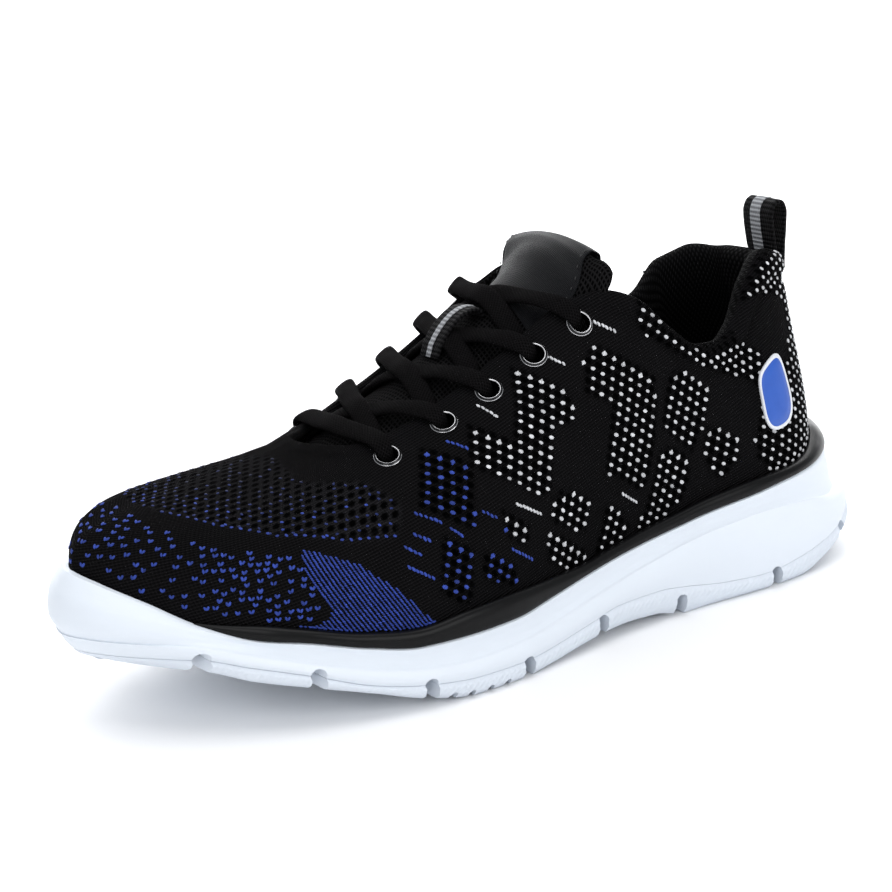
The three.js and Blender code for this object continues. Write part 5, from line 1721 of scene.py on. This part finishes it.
def patch_dots(chart, side, without=None):
    """Dots of one patch; those along its upper border are doubled into little stars."""
    found = []
    points, numbers = lattice(chart)
    present = {tuple(n) for n in numbers}
    for (reach, rise), (m, n) in zip(points, numbers):
        if without is not None and in_polygon(np.array([[reach, rise]]), without)[0]:
            continue
        made = dot_at(side, reach, rise, DOT_TILT, DOT_SIZE)
        over = DOTS_OVER_EDGE if reach < HEEL_REACH else BAND_OVER_EDGE
        if made is None or made[1] < -over:
            continue
        found.append(made[0])
        if (m, n - 1) not in present:
            star = dot_at(side, reach, rise, STAR_TILT, STAR_SIZE, 0.05)
            if star is not None:
                found.append(star[0])
    return found


def dash_dots(dash, side):
    """A short row of slanting strokes."""
    start, stop = (np.array(place) for place in charted(dash))
    steps = max(int(round(np.linalg.norm(stop - start) / DASH_PITCH)), 2)
    found = []
    for k in range(steps + 1):
        reach, rise = start + (stop - start) * k / steps
        made = dot_at(side, reach, rise, DASH_TILT, DASH_SIZE, 0.06)
        if made is not None:
            found.append(made[0])
    return found


def make_yarn():
    """White and blue dots and dashes, the inner side mirrored from the outer."""
    white, blue = [], []
    for side in (1, -1):
        for chart in WHITE_CHART:
            white += patch_dots(chart, side)
        white += patch_dots(HEEL_CHART, side, PLAIN_CHART)
        for chart in BLUE_CHART:
            blue += patch_dots(chart, side)
        for dash in WHITE_DASHES:
            white += dash_dots(dash, side)
        for dash in BLUE_DASHES:
            blue += dash_dots(dash, side)
    make_dots("white_yarn_dots", white, [WHITE_YARN])
    make_dots("blue_yarn_dots", blue, [BLUE_YARN])


def make_toe_yarn():
    """Blue panel of packed chains, and loose v-shaped stitches that thin out towards the toe."""
    panel, specks = [], []
    across = np.array([-CHAIN[1], CHAIN[0]])
    for side in (1, -1):
        stitch = CHAIN * CHAIN_STITCH
        points, _ = lattice(PANEL_CHART, stitch, across * CHAIN_PITCH + stitch * 0.4)
        for reach, rise in points:
            made = dot_at(side, reach, rise, PANEL_TILT, CHAIN_SIZE, 0.03)
            if made is not None:
                panel.append(made[0])
        for reach, rise in scattered(charted(SPECK_FIELD)):
            for lean, shift in ((SPECK_LEAN, SPECK_SHIFT), (-SPECK_LEAN, -SPECK_SHIFT)):
                made = dot_at(side, reach + shift, rise, lean, SPECK_SIZE, 0.07)
                if made is not None:
                    specks.append(made[0])
    make_dots("toe_panel_stitches", panel, [BLUE_YARN])
    make_dots("toe_stitches", specks, [BLUE_YARN])


def scattered(field):
    """Places scattered over the stitches of a field, closer together near the blue panel."""
    corners = np.array(field)
    low, high = corners.min(0), corners.max(0)
    kept = []
    for _ in range(SPECK_TRIES):
        cell = np.round((low + RANDOM.random(2) * (high - low)) / SPECK_CELL)
        place = cell * SPECK_CELL
        reach = min(place[0], SKIN.reach[1][-1])
        if place[1] < SKIN.column(SKIN.rise, 1, reach)[0] + 1.0:
            continue
        if not in_polygon(place[None], field)[0]:
            continue
        apart = SPECK_NEAR + (SPECK_FAR - SPECK_NEAR) * float(smoothstep(245, 290, place[0]))
        if any(np.hypot(*(place - other)) < apart for other in kept):
            continue
        kept.append(place)
    return [place for place in kept if RANDOM.random() < SPECK_KEPT]


def plan_finder():
    """Finds the skin's point under a place of the plan view."""
    flat = SKIN.points.reshape(-1, 3)
    normals = SKIN.normals.reshape(-1, 3)
    far = flat[:, 0] > 0.6 * LENGTH
    flat, normals = flat[far], normals[far]

    def find(x, y):
        away = (flat[:, 0] - x) ** 2 + (flat[:, 1] - y) ** 2
        near = np.argsort(away)[:6]
        weights = 1 / (away[near] + 0.01)
        weights /= weights.sum()
        point = (flat[near] * weights[:, None]).sum(0)
        normal = unit((normals[near] * weights[:, None]).sum(0))
        point = point - normal * (np.dot(point - np.array([x, y, point[2]]), normal))
        return np.array([x, y, point[2]]), normal

    return find


def make_vamp_yarn():
    """Dim stitches in the vamp's open mesh, brighter low down, and a row along its lower border."""
    find = plan_finder()
    dim, bright = [], []
    for chart in VAMP_PLANS:
        points, _ = lattice(chart, VAMP_ALONG, VAMP_ACROSS)
        border = np.array(chart)[BORDER_POINTS]
        for x, y in points:
            near = min(segment_distance(np.array([x, y]), a, b) for a, b in zip(border[:-1], border[1:]))
            low = 1 - float(smoothstep(3, 24, near))
            if RANDOM.random() > 0.25 + 0.75 * low:
                continue
            place = np.array([x, y]) + RANDOM.normal(0, 0.3, 2)
            tone = float(np.clip(RANDOM.normal(0.25 + 0.6 * low, 0.18), 0.02, 1.0))
            dot = vamp_dot(find, place, tone, VAMP_SIZE)
            (bright if low > 0.75 and RANDOM.random() < 0.2 else dim).append(dot)
        lengths = run_lengths(border)
        for at in np.arange(0.5, lengths[-1], BORDER_PITCH):
            place = [np.interp(at, lengths, border[:, k]) for k in range(2)]
            tone = float(np.clip(RANDOM.normal(0.42, 0.14), 0.1, 1))
            bright.append(vamp_dot(find, place, tone, BORDER_SIZE))
    slots = [0] * len(dim) + [1] * len(bright)
    make_dots("vamp_stitches", dim + bright, [DIM_BLUE_YARN, BLUE_YARN], slots)


def vamp_dot(find, place, tone, size):
    """One small stitch of the vamp, over a place of the plan view."""
    point, normal = find(*place)
    turn = RANDOM.normal(2.4, 0.5)
    long = np.array([math.cos(turn), math.sin(turn), 0.0])
    return (point + normal * 0.02, normal, long, *size, VAMP_HIGH, tone)


# Floor, light and camera, in metres
AWAY = np.array([-math.sin(CAMERA_AZIMUTH), math.cos(CAMERA_AZIMUTH)])
PAPER_SIZE = 2.2
PAPER_TURN = 0.35
MIDDLE = (0.0, 0.0, 0.05)
LIGHTS = [
    # name, place, target, width, height, power
    ("top_soft", (0.1, 0.1, 1.2), MIDDLE, 1.3, 1.0, 7.8),
    ("front_soft", (0.9, 0.9, 0.75), MIDDLE, 0.8, 0.8, 4.9),
    ("side_soft", (-0.35, 1.25, 0.6), MIDDLE, 0.9, 0.6, 4.5),
    ("back_soft", (-0.6, -1.1, 0.8), MIDDLE, 1.0, 0.7, 3.3),
    ("paper_soft", (*(AWAY * 1.15), 1.3), (*(AWAY * 2.0), 0.1), 3.0, 0.9, 55.0),
]


def make_floor():
    """Pale paper that curves up behind the shoe."""
    size, turn = PAPER_SIZE, PAPER_TURN
    profile = [(y, 0.0) for y in np.linspace(-size, size * 0.75, 12)]
    profile += [(size * 0.75 + turn * math.sin(a), turn - turn * math.cos(a))
                for a in np.linspace(0, math.pi / 2, 13)[1:]]
    profile += [(size * 0.75 + turn, z) for z in np.linspace(0.6, size, 6)]
    side = np.array([AWAY[1], -AWAY[0]])
    vertices = []
    for away, up in profile:
        for across in (-size * 1.4, 0.0, size * 1.4):
            place = AWAY * away + side * across
            vertices.append((place[0], place[1], up - 0.0002))
    mesh = bpy.data.meshes.new("studio_floor")
    mesh.from_pydata(vertices, [], grid_quads(len(profile), 3, wrap=False).tolist())
    look = Look("studio_paper", Roughness=0.9, Specular_IOR_Level=0.1)
    look.color(look.mix(look.noise(3.0), (0.93, 0.93, 0.935), (0.96, 0.96, 0.965)))
    mesh.materials.append(look.bump(look.noise(400.0), 0.02))
    mesh.shade_smooth()
    floor = add_object("studio_floor", mesh)


def make_light(name, place, target, width, height, power):
    """Soft rectangular lamp that faces a target."""
    data = bpy.data.lights.new(name, "AREA")
    data.shape = "RECTANGLE"
    data.size, data.size_y = width, height
    data.energy = power
    light = add_object(name, data)
    light.location = place
    aim = Vector(target) - Vector(place)
    light.rotation_euler = aim.to_track_quat("-Z", "Y").to_euler()


def make_studio():
    """Paper, world light and soft lamps."""
    make_floor()
    world = bpy.data.worlds.new("studio")
    world.use_nodes = True
    background = world.node_tree.nodes["Background"]
    background.inputs["Color"].default_value = (0.93, 0.96, 1.0, 1.0)
    background.inputs["Strength"].default_value = 0.46
    bpy.context.scene.world = world
    for row in LIGHTS:
        make_light(*row)


def make_camera():
    """Camera at the photo's viewing angle."""
    back = np.array([*(-AWAY * math.cos(CAMERA_ELEVATION)), math.sin(CAMERA_ELEVATION)])
    right = unit(np.cross(-back, [0.0, 0.0, 1.0]))
    up = np.cross(right, -back)
    turned_right = right * math.cos(CAMERA_ROLL) + up * math.sin(CAMERA_ROLL)
    turned_up = up * math.cos(CAMERA_ROLL) - right * math.sin(CAMERA_ROLL)
    place = metres(CAMERA_TARGET + back * CAMERA_DISTANCE)
    data = bpy.data.cameras.new("photo_camera")
    data.lens = CAMERA_LENS
    data.sensor_width = 36.0
    data.clip_start, data.clip_end = 0.05, 20.0
    camera = add_object("photo_camera", data)
    columns = np.column_stack([turned_right, turned_up, back, place])
    camera.matrix_world = Matrix([list(map(float, row)) for row in columns] + [[0, 0, 0, 1]])
    bpy.context.scene.camera = camera


make_camera()
make_studio()
make_outsole()
make_midsole()
make_rim()
make_insole()
upper = make_upper()
for place in LATERAL_EYELETS + MEDIAL_EYELETS:
    cut(upper, cylinder_solid(place["point"], place["normal"], RING_BORE + GAP, 4 * WALL))
make_tongue()
make_label()
make_keeper()
make_pull_loop()
make_laces()
for row, places in (("lateral", LATERAL_EYELETS), ("medial", MEDIAL_EYELETS)):
    for number, place in enumerate(places, 1):
        make_eyelet(f"ring_{row}_{number}", f"eyelet_{row}_{number}", place)
make_badge()
make_yarn()
make_toe_yarn()
make_vamp_yarn()

bpy.context.scene.view_settings.view_transform = "Standard"
